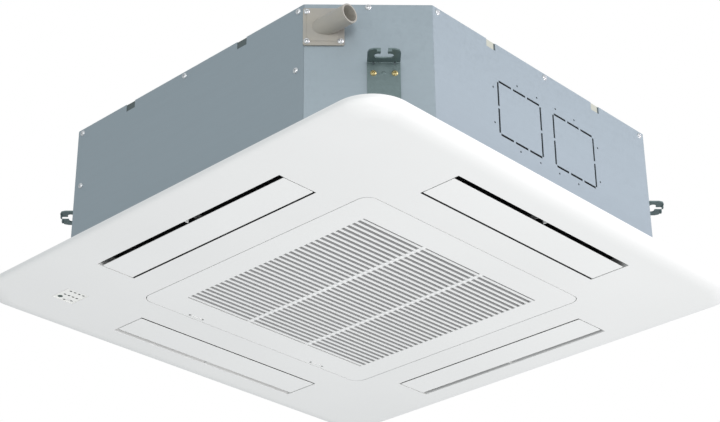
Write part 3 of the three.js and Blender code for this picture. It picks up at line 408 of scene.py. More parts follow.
class NodeBook:
    """Builds one material's or one group's nodes."""

    def __init__(self, tree: bpy.types.NodeTree) -> None:
        """Starts on a node tree."""
        self.tree = tree

    def link(self, source: bpy.types.NodeSocket, target: bpy.types.NodeSocket) -> None:
        """Joins two sockets."""
        self.tree.links.new(source, target)

    def put(self, target: bpy.types.NodeSocket, value: object) -> None:
        """Links another node's socket to an input, or sets the input's own value."""
        if isinstance(value, bpy.types.NodeSocket):
            self.link(value, target)
        else:
            target.default_value = value

    def add(self, kind: str, **values: object) -> bpy.types.Node:
        """Adds a node and sets its properties and inputs.

        Args:
            kind: The node's type name.
            values: A property by its name, or an input by its name with spaces as underscores,
                as a value or as another node's socket.

        Returns:
            The new node.
        """
        node = self.tree.nodes.new(kind)
        for key, value in values.items():
            title = key.replace("_", " ")
            if title in node.inputs:
                self.put(node.inputs[title], value)
            else:
                setattr(node, key, value)
        return node

    def feed(self, kind: str, *given: object, **values: object) -> bpy.types.NodeSocket:
        """Adds a node and fills its first inputs in their order.

        Args:
            kind: The node's type name.
            given: A value or another node's socket for each of the first inputs.
            values: Its other properties and inputs.

        Returns:
            Its first output.
        """
        node = self.add(kind, **values)
        for target, value in zip(node.inputs, given):
            self.put(target, value)
        return node.outputs[0]

    def math(self, operation: str, *given: object) -> bpy.types.NodeSocket:
        """Adds a Math node on sockets or numbers."""
        return self.feed("ShaderNodeMath", *given, operation=operation)


def group_of(name: str, inputs: dict[str, float], outputs: Sequence[str],
             build: Callable[[NodeBook, bpy.types.Node, bpy.types.Node], None]
             ) -> bpy.types.NodeTree:
    """Makes a shader node group once and finds it again afterwards.

    Args:
        name: The group's name.
        inputs: Each input's name and first value.
        outputs: Each output's name.
        build: Fills the group, given its book, its input node and its output node.

    Returns:
        The group's node tree.
    """
    known = bpy.data.node_groups.get(name)
    if known:
        return known
    tree = bpy.data.node_groups.new(name, "ShaderNodeTree")
    for title, value in inputs.items():
        socket = tree.interface.new_socket(title, in_out="INPUT", socket_type="NodeSocketFloat")
        socket.default_value = value
    for title in outputs:
        tree.interface.new_socket(title, in_out="OUTPUT", socket_type="NodeSocketFloat")
    book = NodeBook(tree)
    build(book, book.add("NodeGroupInput"), book.add("NodeGroupOutput"))
    return tree


def moulding_grain() -> bpy.types.NodeTree:
    """The fine texture of moulded plastic, as a height and a slow patchiness."""

    def build(book: NodeBook, given: bpy.types.Node, out: bpy.types.Node) -> None:
        place = book.add("ShaderNodeTexCoord").outputs["Object"]
        fine = book.add("ShaderNodeTexNoise", Vector=place, Scale=given.outputs["Grain Scale"],
                        Detail=3.0, Roughness=0.6)
        slow = book.add("ShaderNodeTexNoise", Vector=place, Scale=given.outputs["Patch Scale"],
                        Detail=2.0)
        book.link(fine.outputs["Fac"], out.inputs["Height"])
        book.link(slow.outputs["Fac"], out.inputs["Patch"])

    return group_of("moulding grain", {"Grain Scale": 900.0, "Patch Scale": 3.0},
                    ("Height", "Patch"), build)


def zinc_spangle() -> bpy.types.NodeTree:
    """The crystal flakes and rolling lines of galvanised sheet."""

    def build(book: NodeBook, given: bpy.types.Node, out: bpy.types.Node) -> None:
        place = book.add("ShaderNodeTexCoord").outputs["Object"]
        warp = book.add("ShaderNodeTexNoise", Vector=place, Scale=40.0, Detail=2.0)
        bent = book.feed("ShaderNodeMixRGB", 0.012, place, warp.outputs["Color"], blend_type="ADD")
        flakes = book.add("ShaderNodeTexVoronoi", feature="F1", Vector=bent,
                          Scale=given.outputs["Flake Scale"])
        shade = book.feed("ShaderNodeSeparateColor", flakes.outputs["Color"])
        stretch = book.add("ShaderNodeMapping", Vector=place, Scale=(1.0, 1.0, 14.0))
        lines = book.add("ShaderNodeTexNoise", Vector=stretch.outputs[0], Scale=9.0, Detail=4.0,
                         Roughness=0.7)
        book.link(shade, out.inputs["Flake"])
        book.link(lines.outputs["Fac"], out.inputs["Rolling"])

    return group_of("zinc spangle", {"Flake Scale": 260.0}, ("Flake", "Rolling"), build)


def upward_dust() -> bpy.types.NodeTree:
    """A mask of dust on faces that look up, broken by noise."""

    def build(book: NodeBook, given: bpy.types.Node, out: bpy.types.Node) -> None:
        coords = book.add("ShaderNodeTexCoord")
        normal = book.add("ShaderNodeSeparateXYZ")
        book.link(coords.outputs["Normal"], normal.inputs[0])
        noise = book.add("ShaderNodeTexNoise", Vector=coords.outputs["Object"], Scale=35.0,
                         Detail=5.0, Roughness=0.65)
        up = book.math("MAXIMUM", book.math("SUBTRACT", normal.outputs["Z"], 0.6), 0.0)
        broken = book.math("MULTIPLY", up, noise.outputs["Fac"])
        book.link(book.math("MULTIPLY", broken, given.outputs["Amount"]), out.inputs["Mask"])

    return group_of("upward dust", {"Amount": 1.0}, ("Mask",), build)


@dataclass(frozen=True)
class Finish:
    """What all finishes share: a name, a colour and how the light meets it."""

    name: str
    colour: Colour
    roughness: float
    metallic: float = 0.0

    def shader(self, book: NodeBook) -> bpy.types.Node:
        """Adds the surface shader and its output.

        Args:
            book: The material's nodes.

        Returns:
            The Principled BSDF.
        """
        book.tree.nodes.clear()
        surface = book.add("ShaderNodeBsdfPrincipled", Roughness=self.roughness,
                           Metallic=self.metallic, Base_Color=(*self.colour, 1.0))
        book.add("ShaderNodeOutputMaterial", Surface=surface.outputs[0])
        return surface

    def tint(self, book: NodeBook, surface: bpy.types.Node, mask: bpy.types.NodeSocket,
             low: float, high: float) -> bpy.types.NodeSocket:
        """Varies the colour between two brightnesses by a mask.

        Args:
            book: The material's nodes.
            surface: The shader that takes the colour.
            mask: From 0 to 1.
            low: The brightness at 0, as a share of the colour.
            high: The brightness at 1.

        Returns:
            The mixed colour.
        """
        dark = (*(c * low for c in self.colour), 1.0)
        light = (*(min(1.0, c * high) for c in self.colour), 1.0)
        mixed = book.feed("ShaderNodeMixRGB", mask, dark, light, blend_type="MIX")
        book.link(mixed, surface.inputs["Base Color"])
        return mixed

    def bump(self, book: NodeBook, surface: bpy.types.Node, height: bpy.types.NodeSocket,
             strength: float, distance: float) -> None:
        """Adds a bump from a height."""
        bump = book.add("ShaderNodeBump", Strength=strength, Distance=distance, Height=height)
        book.link(bump.outputs[0], surface.inputs["Normal"])

    def spread(self, book: NodeBook, mask: bpy.types.NodeSocket, low: float,
               high: float) -> bpy.types.NodeSocket:
        """Maps a mask from 0..1 to a range."""
        return book.feed("ShaderNodeMapRange", mask, To_Min=low, To_Max=high)

    def roughen(self, book: NodeBook, surface: bpy.types.Node, mask: bpy.types.NodeSocket,
                less: float, more: float) -> None:
        """Varies the roughness by a mask, from somewhat less to somewhat more."""
        rough = self.spread(book, mask, self.roughness - less, self.roughness + more)
        book.link(rough, surface.inputs["Roughness"])

    def dusted(self, book: NodeBook, surface: bpy.types.Node, shade: bpy.types.NodeSocket,
               amount: float, colour: Colour) -> None:
        """Lays dust over the colour where faces look up.

        Args:
            book: The material's nodes.
            surface: The shader that takes the colour.
            shade: The colour below the dust.
            amount: How much dust there is.
            colour: The dust's colour.
        """
        dust = book.feed("ShaderNodeGroup", amount, node_tree=upward_dust())
        dusty = book.feed("ShaderNodeMixRGB", dust, shade, (*colour, 1.0), blend_type="MIX")
        book.link(dusty, surface.inputs["Base Color"])

    def paint(self, book: NodeBook, surface: bpy.types.Node) -> None:
        """Adds the finish's own pattern; each kind of finish has its own."""
        raise NotImplementedError

    def material(self) -> bpy.types.Material:
        """Makes the material once and finds it again afterwards.

        Returns:
            The material.
        """
        known = bpy.data.materials.get(self.name)
        if known:
            return known
        made = bpy.data.materials.new(self.name)
        made.use_nodes = True
        book = NodeBook(made.node_tree)
        self.paint(book, self.shader(book))
        return made


@dataclass(frozen=True)
class Moulded(Finish):
    """Moulded plastic or rubber with a fine grain."""

    grain_scale: float = 900.0
    grain_depth: float = 0.00004
    patch: float = 0.04
    dust: float = 0.5

    def paint(self, book: NodeBook, surface: bpy.types.Node) -> None:
        """Adds the grain, a slow patchiness and dust on top."""
        grain = book.add("ShaderNodeGroup", node_tree=moulding_grain(),
                         Grain_Scale=self.grain_scale)
        shade = self.tint(book, surface, grain.outputs["Patch"], 1.0 - self.patch, 1.0 + self.patch)
        self.dusted(book, surface, shade, self.dust, (0.42, 0.40, 0.37))
        self.roughen(book, surface, grain.outputs["Patch"], 0.05, 0.07)
        self.bump(book, surface, grain.outputs["Height"], 0.35, self.grain_depth)


@dataclass(frozen=True)
class Zinc(Finish):
    """Zinc-coated sheet steel, with flakes and rolling lines."""

    flake_scale: float = 260.0
    flake: float = 0.05

    def paint(self, book: NodeBook, surface: bpy.types.Node) -> None:
        """Adds the flakes to the colour and the roughness, and dust on top."""
        zinc = book.add("ShaderNodeGroup", node_tree=zinc_spangle(), Flake_Scale=self.flake_scale)
        both = book.math("ADD", book.math("MULTIPLY", zinc.outputs["Flake"], 0.4),
                         book.math("MULTIPLY", zinc.outputs["Rolling"], 0.6))
        shade = self.tint(book, surface, both, 1.0 - self.flake, 1.0 + self.flake)
        self.dusted(book, surface, shade, 1.0, (0.40, 0.39, 0.36))
        self.roughen(book, surface, zinc.outputs["Flake"], 0.06, 0.06)
        self.bump(book, surface, zinc.outputs["Rolling"], 0.12, 0.0002)


@dataclass(frozen=True)
class Machined(Finish):
    """Bright or plated metal with fine turning marks."""

    mark_scale: float = 700.0
    wear: float = 0.12

    def paint(self, book: NodeBook, surface: bpy.types.Node) -> None:
        """Adds turning marks and a slow tarnish."""
        grain = book.add("ShaderNodeGroup", node_tree=moulding_grain(),
                         Grain_Scale=self.mark_scale, Patch_Scale=60.0)
        self.tint(book, surface, grain.outputs["Patch"], 1.0 - self.wear, 1.0 + self.wear)
        self.roughen(book, surface, grain.outputs["Patch"], 0.08, 0.1)
        self.bump(book, surface, grain.outputs["Height"], 0.2, 0.00003)


@dataclass(frozen=True)
class Milky(Finish):
    """Translucent, slightly yellowed plastic."""

    transmission: float = 0.25
    yellowing: Colour = (0.62, 0.56, 0.42)

    def paint(self, book: NodeBook, surface: bpy.types.Node) -> None:
        """Adds cloudiness, yellowing in patches and light through the wall."""
        grain = book.add("ShaderNodeGroup", node_tree=moulding_grain(), Patch_Scale=28.0,
                         Grain_Scale=400.0)
        cloud = self.spread(book, grain.outputs["Patch"], 0.0, 0.55)
        mixed = book.feed("ShaderNodeMixRGB", cloud, (*self.colour, 1.0), (*self.yellowing, 1.0),
                          blend_type="MIX")
        book.link(mixed, surface.inputs["Base Color"])
        surface.inputs["Transmission Weight"].default_value = self.transmission
        surface.inputs["IOR"].default_value = 1.45
        self.roughen(book, surface, grain.outputs["Patch"], 0.05, 0.1)
        self.bump(book, surface, grain.outputs["Height"], 0.15, 0.00005)


@dataclass(frozen=True)
class Striped(Finish):
    """A stack of thin fins or a woven net, as fine stripes on Object coordinates."""

    pitch: float = 0.0018
    across: tuple[int, ...] = (2,)
    contrast: float = 0.5
    depth: float = 0.0004

    def paint(self, book: NodeBook, surface: bpy.types.Node) -> None:
        """Adds stripes along each named axis."""
        place = book.add("ShaderNodeSeparateXYZ")
        book.link(book.add("ShaderNodeTexCoord").outputs["Object"], place.inputs[0])
        mask = None
        for axis in self.across:
            turns = book.math("MULTIPLY", place.outputs[axis], 2 * math.pi / self.pitch)
            wave = book.math("ADD", book.math("MULTIPLY", book.math("SINE", turns), 0.5), 0.5)
            mask = wave if mask is None else book.math("MAXIMUM", mask, wave)
        self.tint(book, surface, mask, 1.0 - self.contrast, 1.0)
        self.bump(book, surface, mask, 0.4, self.depth)


@dataclass(frozen=True)
class Beaded(Finish):
    """Moulded foam beads."""

    bead_scale: float = 300.0

    def paint(self, book: NodeBook, surface: bpy.types.Node) -> None:
        """Adds the beads as cells."""
        beads = book.add("ShaderNodeTexVoronoi", feature="DISTANCE_TO_EDGE", Scale=self.bead_scale,
                         Vector=book.add("ShaderNodeTexCoord").outputs["Object"])
        edge = book.math("MINIMUM", book.math("MULTIPLY", beads.outputs["Distance"], 6.0), 1.0)
        self.tint(book, surface, edge, 0.86, 1.0)
        self.bump(book, surface, edge, 0.5, 0.0004)


PANEL_WHITE = Moulded("panel white", (0.80, 0.80, 0.79), 0.42)
VANE_WHITE = Moulded("vane white", (0.82, 0.82, 0.81), 0.36, grain_depth=0.00002)
GRILLE_WHITE = Moulded("grille white", (0.81, 0.81, 0.80), 0.40)
# Dark plastic of the pump's parts and the terminal block; on the latches' slides the same
# near-black is painted shade.
DARK_PLASTIC_AND_SHADE = Moulded("dark plastic", (0.035, 0.04, 0.042), 0.5, grain_scale=600.0)
GREY_PLASTIC = Moulded("grey plastic", (0.12, 0.13, 0.14), 0.5)
FAN_GREY = Moulded("fan grey", (0.20, 0.22, 0.23), 0.45, grain_scale=700.0)
HOSE_GREY = Moulded("hose grey", (0.30, 0.31, 0.32), 0.6)
FOAM = Moulded("black foam", (0.03, 0.032, 0.034), 0.95, grain_scale=300.0, grain_depth=0.0003)
RUBBER = Moulded("rubber", (0.025, 0.025, 0.027), 0.85)
BOARD_GREEN = Moulded("board green", (0.02, 0.13, 0.055), 0.4, patch=0.15)
LENS_GREEN = Moulded("window green", (0.012, 0.045, 0.032), 0.15)
LENS_DARK = Moulded("lens dark", (0.022, 0.026, 0.026), 0.2)
# Painted shade: the slats' flanks are the same white plastic, given this grey so the gaps between
# the slats read shaded.
SLAT_FLANK_SHADE = Moulded("slat flank shade", (0.50, 0.50, 0.50), 0.7)
DISPLAY_WHITE = Moulded("display white", (0.86, 0.86, 0.83), 0.42)
BELL_WHITE = Moulded("bell white", (0.62, 0.62, 0.60), 0.5)
# Painted shade: a near-black finish on the outlets' inner long walls, so the slots read dark.
DUCT_PAINTED_SHADE = Moulded("duct flock", (0.016, 0.018, 0.018), 0.95, grain_scale=1200.0)
# Painted shade: a dark grey that stands for the top plate's flange in shadow behind the casing's
# windows.
SHADE_GREY = Moulded("painted shade grey", (0.085, 0.11, 0.11), 0.55)
PAD_BEIGE = Moulded("pad beige", (0.48, 0.49, 0.42), 0.8)
FLOOR_PALE = Moulded("pale floor", (0.8, 0.8, 0.8), 0.8, grain_scale=20.0, dust=0.0)
PAN_GREY = Beaded("graphite polystyrene", (0.05, 0.053, 0.055), 0.9)
GALVANISED = Zinc("galvanised sheet", (0.335, 0.395, 0.43), 0.48, 0.55)
TOP_SHEET = Zinc("galvanised top", (0.44, 0.50, 0.54), 0.46, 0.55)
BRACKET_ZINC = Zinc("bracket zinc", (0.17, 0.225, 0.225), 0.42, 0.65, flake_scale=420.0, flake=0.12)
SCREW_ZINC = Machined("screw zinc", (0.72, 0.73, 0.74), 0.3, 0.75)
SCREW_GOLD = Machined("screw gold", (0.52, 0.44, 0.22), 0.35, 0.85)
STEEL = Machined("bright steel", (0.56, 0.57, 0.58), 0.32, 0.9)
COPPER = Machined("copper", (0.62, 0.28, 0.14), 0.3, 0.95, wear=0.25)
BRASS = Machined("brass", (0.58, 0.42, 0.14), 0.3, 0.95)
SOCKET_PLASTIC = Milky("socket plastic", (0.44, 0.43, 0.41), 0.35)
FINS = Striped("aluminium fins", (0.62, 0.64, 0.66), 0.35, 0.85, pitch=0.0018, across=(0, 1))
# The filter net's dark grey is partly painted shade: it is darkened so the gaps between the
# grille's slats read shaded.
NET_AND_SHADE = Striped("filter net", (0.12, 0.125, 0.125), 0.8, pitch=0.0016, across=(0, 1), contrast=0.7)


def dress(piece: Piece, *finishes: Finish) -> None:
    """Gives an object its finishes, in the order of its material slots."""
    if piece.data.materials:
        piece.data.materials.clear()
    for finish in finishes:
        piece.data.materials.append(finish.material())


def place_piece(piece: Piece, finish: Finish | tuple[Finish, ...],
                body: str = CASING_BODY, stands_for: Sequence[str] = ()) -> Piece:
    """Brings a finished piece to metres, dresses it and ties it to the frame.

    Args:
        piece: The finished object, in millimetres.
        finish: Its finish, or its finishes in the order of its material slots.
        body: The body that it moves with.
        stands_for: The frame's nodes that it replaces.

    Returns:
        The piece.
    """
    moved(piece, TO_METRES)
    dress(piece, *(finish if isinstance(finish, tuple) else (finish,)))
    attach(piece, body)
    if stands_for:
        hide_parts(*stands_for)
    LOG.info("%s: %d faces on %s", piece.name, len(piece.data.polygons), body)
    return piece


# ---------------------------------------------------------------- decoration panel


@dataclass
class DecorPanel:
    """The white panel that shows below the ceiling."""

    half: float = 475.0
    corner: float = 66.0
    rise: float = 20.0
    wall: float = 3.0
    border_width: float = 38.0
    border_rise: float = 15.0
    border_steps: int = 10
    frame_top: float = 24.0
    collar_half: float = 270.0
    collar_corner: float = 22.0
    outlet_half: float = 217.0
    outlet_inner: float = 330.0
    outlet_outer: float = 406.0
    flare: Flat = (2.6, 7.0)
    rib: float = 2.0
    rib_bottom: float = 16.0
    rib_foot: float = 1.0
    rib_reach: float = 7.2
    pivot: Flat = (-346.0, 10.0)
    pin_hole: float = 3.3
    hinge: Flat = (247.0, 5.5)
    hinge_hole: float = 2.8
    latch_y: float = 150.0
    display: Flat = (-349.0, -361.0)
    display_half: float = 22.3
    bolt: Flat = (190.0, 256.0)
    bolt_hole: float = 3.3
    tab_half: float = 10.0
    tab_level: Flat = (19.0, 22.0)
    tab_reach: Flat = (7.5, 1.5)
    pocket: tuple[float, float, float] = (7.0, 5.0, 11.0)
    edge: float = 0.5

    def curved_shell(self) -> Piece:
        """Draws the rim, the curved border and the flat underside by insets of one rounded face."""
        bpy.ops.object.select_all(action="DESELECT")
        bpy.ops.mesh.primitive_plane_add(size=2 * self.half, location=(0, 0, self.rise))
        shell = settle("panel_main")
        with editing(shell, "VERT", everything=True):
            bpy.ops.mesh.bevel(offset=self.corner, segments=20, affect="VERTICES",
                               clamp_overlap=False)
            bpy.ops.mesh.select_mode(type="FACE")
            bpy.ops.mesh.select_all(action="SELECT")
            bpy.ops.mesh.flip_normals()
            draw_out((0, 0, self.border_rise - self.rise))
            inwards, height = 0.0, self.border_rise
            for step in range(1, self.border_steps + 1):
                angle = (1 - step / self.border_steps) * math.pi / 2
                next_in = self.border_width * (1 - math.sin(angle))
                next_height = self.border_rise * (1 - math.cos(angle))
                bpy.ops.mesh.inset(thickness=next_in - inwards, depth=height - next_height)
                inwards, height = next_in, next_height
            pick_faces(shell, lambda centre, normal: centre.z > self.rise - NEAR_ZERO)
            bpy.ops.mesh.delete(type="FACE")
        return finish_with(shell, "SOLIDIFY", thickness=self.wall, offset=-1,
                           use_even_offset=True)

    def frames(self) -> list[Piece]:
        """The collar round the grille and the duct frame round each outlet."""
        out = self.wall
        half = self.collar_half + out
        pieces = [plate("collar", (half, half), self.collar_corner + out,
                        (out / 2, self.frame_top))]
        duct = block("duct_frame", (-self.outlet_half - out, -self.outlet_outer - out, out / 2),
                     (self.outlet_half + out, -self.outlet_inner + out, self.frame_top))
        return pieces + on_sides(duct)

    def openings(self) -> list[Piece]:
        """The grille's opening, the outlets and the display's window."""
        above = self.frame_top + PAST
        cuts = on_sides(block("outlet", (-self.outlet_half, -self.outlet_outer, -PAST),
                              (self.outlet_half, -self.outlet_inner, above)))
        cuts.append(plate("intake", (self.collar_half, self.collar_half), self.collar_corner,
                          (-PAST, above), steps=12))
        x, y = self.display
        half = self.display_half
        cuts.append(block("window", (x - half, y - half, -PAST),
                          (x + half, y + half, self.wall + PAST)))
        return cuts

    def flares(self) -> list[Piece]:
        """The slanted lip along the outer edge of each outlet."""
        wide, high = self.flare
        flare = block("flare", (-self.outlet_half, -self.outlet_outer - wide, -PAST),
                      (self.outlet_half, -self.outlet_outer + PAST, high))
        with editing(flare, "EDGE"):
            pick_edges(flare, lambda a, b: all(end.y < -self.outlet_outer and end.z > 0
                                               for end in (a, b)))
            bpy.ops.transform.translate(value=(0, wide + SEAT, 0))
        return on_sides(flare)

    def holes(self) -> list[Piece]:
        """The holes for the vanes' and the grille's pins, and the latches' pockets."""
        y, z = self.pivot
        reach = self.wall + 2
        cuts = []
        for side in Side:
            for end in ENDS:
                start = end * (self.outlet_half + self.wall / 2) - reach / 2
                cuts.append(moved(rod("pin_hole", self.pin_hole, (start, y, z), reach, Axis.X, 20),
                                  side.turn))
        x, z = self.hinge
        for end in ENDS:
            start = end * (self.collar_half + self.wall / 2) - reach / 2
            cuts.append(rod("hinge_hole", self.hinge_hole, (x, start, z), reach, Axis.Y, 20))
            y = end * self.latch_y
            half, low, high = self.pocket
            cuts.append(block("pocket", (-self.collar_half - self.wall - PAST, y - half, low),
                              (PAST - self.collar_half, y + half, high)))
        return cuts

    def tabs(self) -> list[Piece]:
        """The four tabs that the panel's bolts pass through."""
        low, high = self.tab_level
        made = []
        for x in (-self.bolt[0], self.bolt[0]):
            for end in ENDS:
                reach = sorted((end * (self.bolt[1] - self.tab_reach[0]),
                                end * (self.collar_half + self.tab_reach[1])))
                tab = block("tab", (x - self.tab_half, reach[0], low),
                            (x + self.tab_half, reach[1], high))
                made.append(cut(tab, rod("hole", self.bolt_hole, (x, end * self.bolt[1],
                                                                  low - PAST),
                                         high - low + 2 * PAST, sides=24)))
        return made

    def ribs(self) -> list[Piece]:
        """The thin rib across the middle of each outlet."""
        rib = block("rib", (-self.rib / 2, -self.outlet_outer - PAST, self.rib_bottom),
                    (self.rib / 2, -self.outlet_inner + PAST, self.frame_top))
        weld(rib, block("foot", (-self.rib / 4, -self.outlet_outer - PAST, self.rib_foot),
                        (self.rib / 4, -self.outlet_outer + self.rib_reach,
                         self.rib_bottom + PAST)))
        return on_sides(rib)

    def paint_duct_shade(self, panel: Piece) -> None:
        """Paints shade on the inner long wall of each outlet: a near-black finish that makes the
        slots read dark.
        """
        painted_shade = 1
        for side in Side:
            back = side.turn.inverted()
            for face in panel.data.polygons:
                centre, normal = back @ face.center, back @ face.normal
                if (abs(centre.y + self.outlet_inner) < NEAR_ZERO and normal.y < -FACING
                        and abs(centre.x) < self.outlet_half):
                    face.material_index = painted_shade

    def build(self) -> None:
        """Makes the panel as one closed piece."""
        panel = weld(self.curved_shell(), *self.frames())
        cut(panel, *self.openings())
        cut(panel, *self.flares())
        cut(panel, *self.holes())
        weld(panel, *self.ribs(), *self.tabs())
        face_out(panel)
        soften(panel, self.edge, 2, 50)
        self.paint_duct_shade(panel)
        smooth(panel, 35)
        place_piece(panel, (PANEL_WHITE, DUCT_PAINTED_SHADE), stands_for=["panel"])


@dataclass
class Vanes:
    """The four louvre blades, each on its own body."""

    half: float = 215.0
    inner: float = -334.0
    outer: float = -397.6
    thickness: float = 4.0
    lip: float = 1.1
    lip_width: float = 5.0
    pivot: Flat = (-346.0, 10.0)
    pin: float = 3.0
    arm: float = 4.5
    arm_thickness: float = 4.0
    wall_face: float = 220.0
    drive_end: float = 227.0
    crown_inset: float = 0.6
    crown_bend: float = 2.2
    rib_places: Flat = (-20.0, -8.0)
    rib_half: float = 0.8
    rib_inset: float = 12.0

    def blade(self) -> Piece:
        """The blade with a rounded edge, its stiffening ribs, arms and pins."""
        middle = (self.inner + self.outer) / 2
        across = (self.inner - self.outer) / 2
        blade = plate("vane", (self.half, across), 1.2, (0, self.lip), (0, middle), 4)
        soften(blade, 0.5, 2, 50)
        along = self.half - self.crown_inset
        crown = block("crown", (-along, middle - across + self.lip_width, self.lip / 2),
                      (along, middle + across - self.lip_width, self.thickness))
        with editing(crown, "EDGE"):
            pick_edges(crown, lambda a, b: min(a.z, b.z) > self.lip and abs(a.x - b.x) > 1)
            bpy.ops.mesh.bevel(offset=self.crown_bend, segments=3, affect="EDGES")
        weld(blade, crown)
        y, z = self.pivot
        for end in ENDS:
            inside, outside = sorted((end * self.half, end * (self.half - self.arm_thickness)))
            stem = block("stem", (inside, y - self.arm, self.thickness / 2),
                         (outside, y + self.arm, z))
            eye = rod("eye", self.arm, (inside, y, z), outside - inside, Axis.X, 28)
            weld(blade, stem, eye)
        weld(blade,
             rod("idle_pin", self.pin, (-self.wall_face, y, z), 6, Axis.X, 24),
             rod("drive_pin", self.pin, (self.half - 1, y, z), self.drive_end - self.half + 1,
                 Axis.X, 24))
        along = self.half - self.rib_inset
        ribs = [block("rib", (-along, middle + at - self.rib_half, self.thickness - 1),
                      (along, middle + at + self.rib_half, self.thickness + 2))
                for at in self.rib_places]
        return face_out(weld(blade, *ribs))

    def build(self) -> None:
        """Makes one blade and copies it to the four sides."""
        pattern = smooth(self.blade(), 30)
        for side in Side:
            blade = twin(pattern, f"vane_blade_{side.label}", side.turn)
            place_piece(blade, VANE_WHITE, f"vane_{side.label}",
                        [f"vane_{side.label}"])
        discard(pattern)


# ---------------------------------------------------------------- grille


@dataclass
class IntakeGrille:
    """The hinged square grille with its slats, hinge pins and knob slots."""

    half: float = 268.6
    corner: float = 20.6
    wall: float = 3.0
    skirt_top: float = 14.0
    skirt_wall: float = 2.5
    field: Flat = (210.2, 216.0)
    pitch: float = 12.0
    slat_width: float = 5.8
    slat_height: float = 8.0
    slats: int = 35
    rib_width: float = 7.5
    rib_y: float = 72.0
    hinge: Flat = (247.0, 5.5)
    pin: float = 2.5
    pin_end: float = 272.7
    knob_x: float = -261.6
    knob_y: float = 150.0
    knob_slot: Flat = (3.0, 17.0)

    def tray(self) -> Piece:
        """The face and its skirt."""
        tray = plate("grille_main", (self.half, self.half), self.corner, (0, self.skirt_top),
                     steps=12)
        inner = self.half - self.skirt_wall
        cut(tray, plate("hollow", (inner, inner), self.corner - self.skirt_wall,
                        (self.wall, self.skirt_top + PAST), steps=12))
        cut(tray, plate("field", self.field, 2.0, (-PAST, self.wall + PAST), steps=4))
        slots = [plate("slot", self.knob_slot, 1.5, (-PAST, self.wall + PAST),
                       (self.knob_x, end * self.knob_y), 6) for end in ENDS]
        cut(tray, *slots)
        return soften(tray, 0.4, 2, 50)

    def lattice(self) -> Piece:
        """The slats and the two ribs that cross them."""
        reach = self.field[1] + 1
        first = -(self.slats - 1) / 2 * self.pitch
        slat = block("slat", (first - self.slat_width / 2, -reach, 0),
                     (first + self.slat_width / 2, reach, self.slat_height))
        with editing(slat, "EDGE"):
            pick_edges(slat, lambda a, b: max(a.z, b.z) < NEAR_ZERO and abs(a.y - b.y) > 1)
            bpy.ops.mesh.bevel(offset=0.8, segments=2, affect="EDGES")
        finish_with(slat, "ARRAY", count=self.slats, use_relative_offset=False,
                    use_constant_offset=True, constant_offset_displace=(self.pitch, 0, 0))
        side = self.field[0] + 1
        ribs = [block("rib", (-side, end * self.rib_y - self.rib_width / 2, 0.2),
                      (side, end * self.rib_y + self.rib_width / 2, self.slat_height - 0.4))
                for end in ENDS]
        return weld(slat, *ribs)

    def shade_flanks(self, grille: Piece) -> None:
        """Paints shade on the upright flanks of the slats: a matt, darker grey finish that stands
        for the shade between them.
        """
        flank = 1
        for face in grille.data.polygons:
            if (abs(face.normal.x) > FACING and abs(face.center.x) < self.field[0] - 1
                    and abs(face.center.y) < self.field[1] and face.center.z < self.slat_height):
                face.material_index = flank

    def build(self) -> None:
        """Joins the tray, the lattice and the hinge pins."""
        grille = weld(self.tray(), self.lattice())
        x, z = self.hinge
        pins = []
        for end in ENDS:
            low, high = sorted((end * (self.half - 1), end * self.pin_end))
            pins.append(rod("pin", self.pin, (x, low, z), high - low, Axis.Y, 24))
        weld(grille, *pins)
        self.shade_flanks(face_out(grille))
        smooth(grille, 35)
        place_piece(grille, (GRILLE_WHITE, SLAT_FLANK_SHADE), "grille", ["grille"])


@dataclass
class Latch:
    """A ribbed white knob on a slide behind the grille's face; the slide is near-black as painted
    shade, so the ends of the knob's slot read dark.
    """

    label: str
    y: float
    x: float = -261.6
    half: Flat = (2.4, 13.0)
    level: Flat = (-0.5, 4.2)
    slide: tuple[float, float, float, float] = (-265.8, -251.6, 21.0, 2.0)
    slide_lap: float = 0.9
    grooves: int = 9
    grooved: float = 1.6
    groove: tuple[float, float, float] = (1.3, 0.3, 0.35)

    def build(self) -> None:
        """Makes the knob and its slide."""
        knob = plate(f"latch_knob_{self.label}", self.half, 1.8, self.level, (self.x, self.y), 6)
        soften(knob, 0.7, 3, 50)
        pitch = self.grooved * self.half[1] / (self.grooves - 1)
        across, along, depth = self.groove
        grooves = [block("groove", (self.x - across, at - along, self.level[0] - PAST),
                         (self.x + across, at + along, self.level[0] + depth))
                   for at in (self.y + (i - (self.grooves - 1) / 2) * pitch
                              for i in range(self.grooves))]
        cut(knob, *grooves)
        body = f"latch_{self.label}"
        place_piece(smooth(face_out(knob)), VANE_WHITE, body, [body])
        left, right, reach, thickness = self.slide
        bottom = self.level[1] - self.slide_lap
        # The slide's near-black is painted shade: it makes the ends of the knob's slot read dark.
        slide = block(f"latch_slide_shade_{self.label}", (left, self.y - reach, bottom),
                      (right, self.y + reach, bottom + thickness))
        soften(slide, 0.3, 2)
        place_piece(slide, DARK_PLASTIC_AND_SHADE, body)


# ---------------------------------------------------------------- display


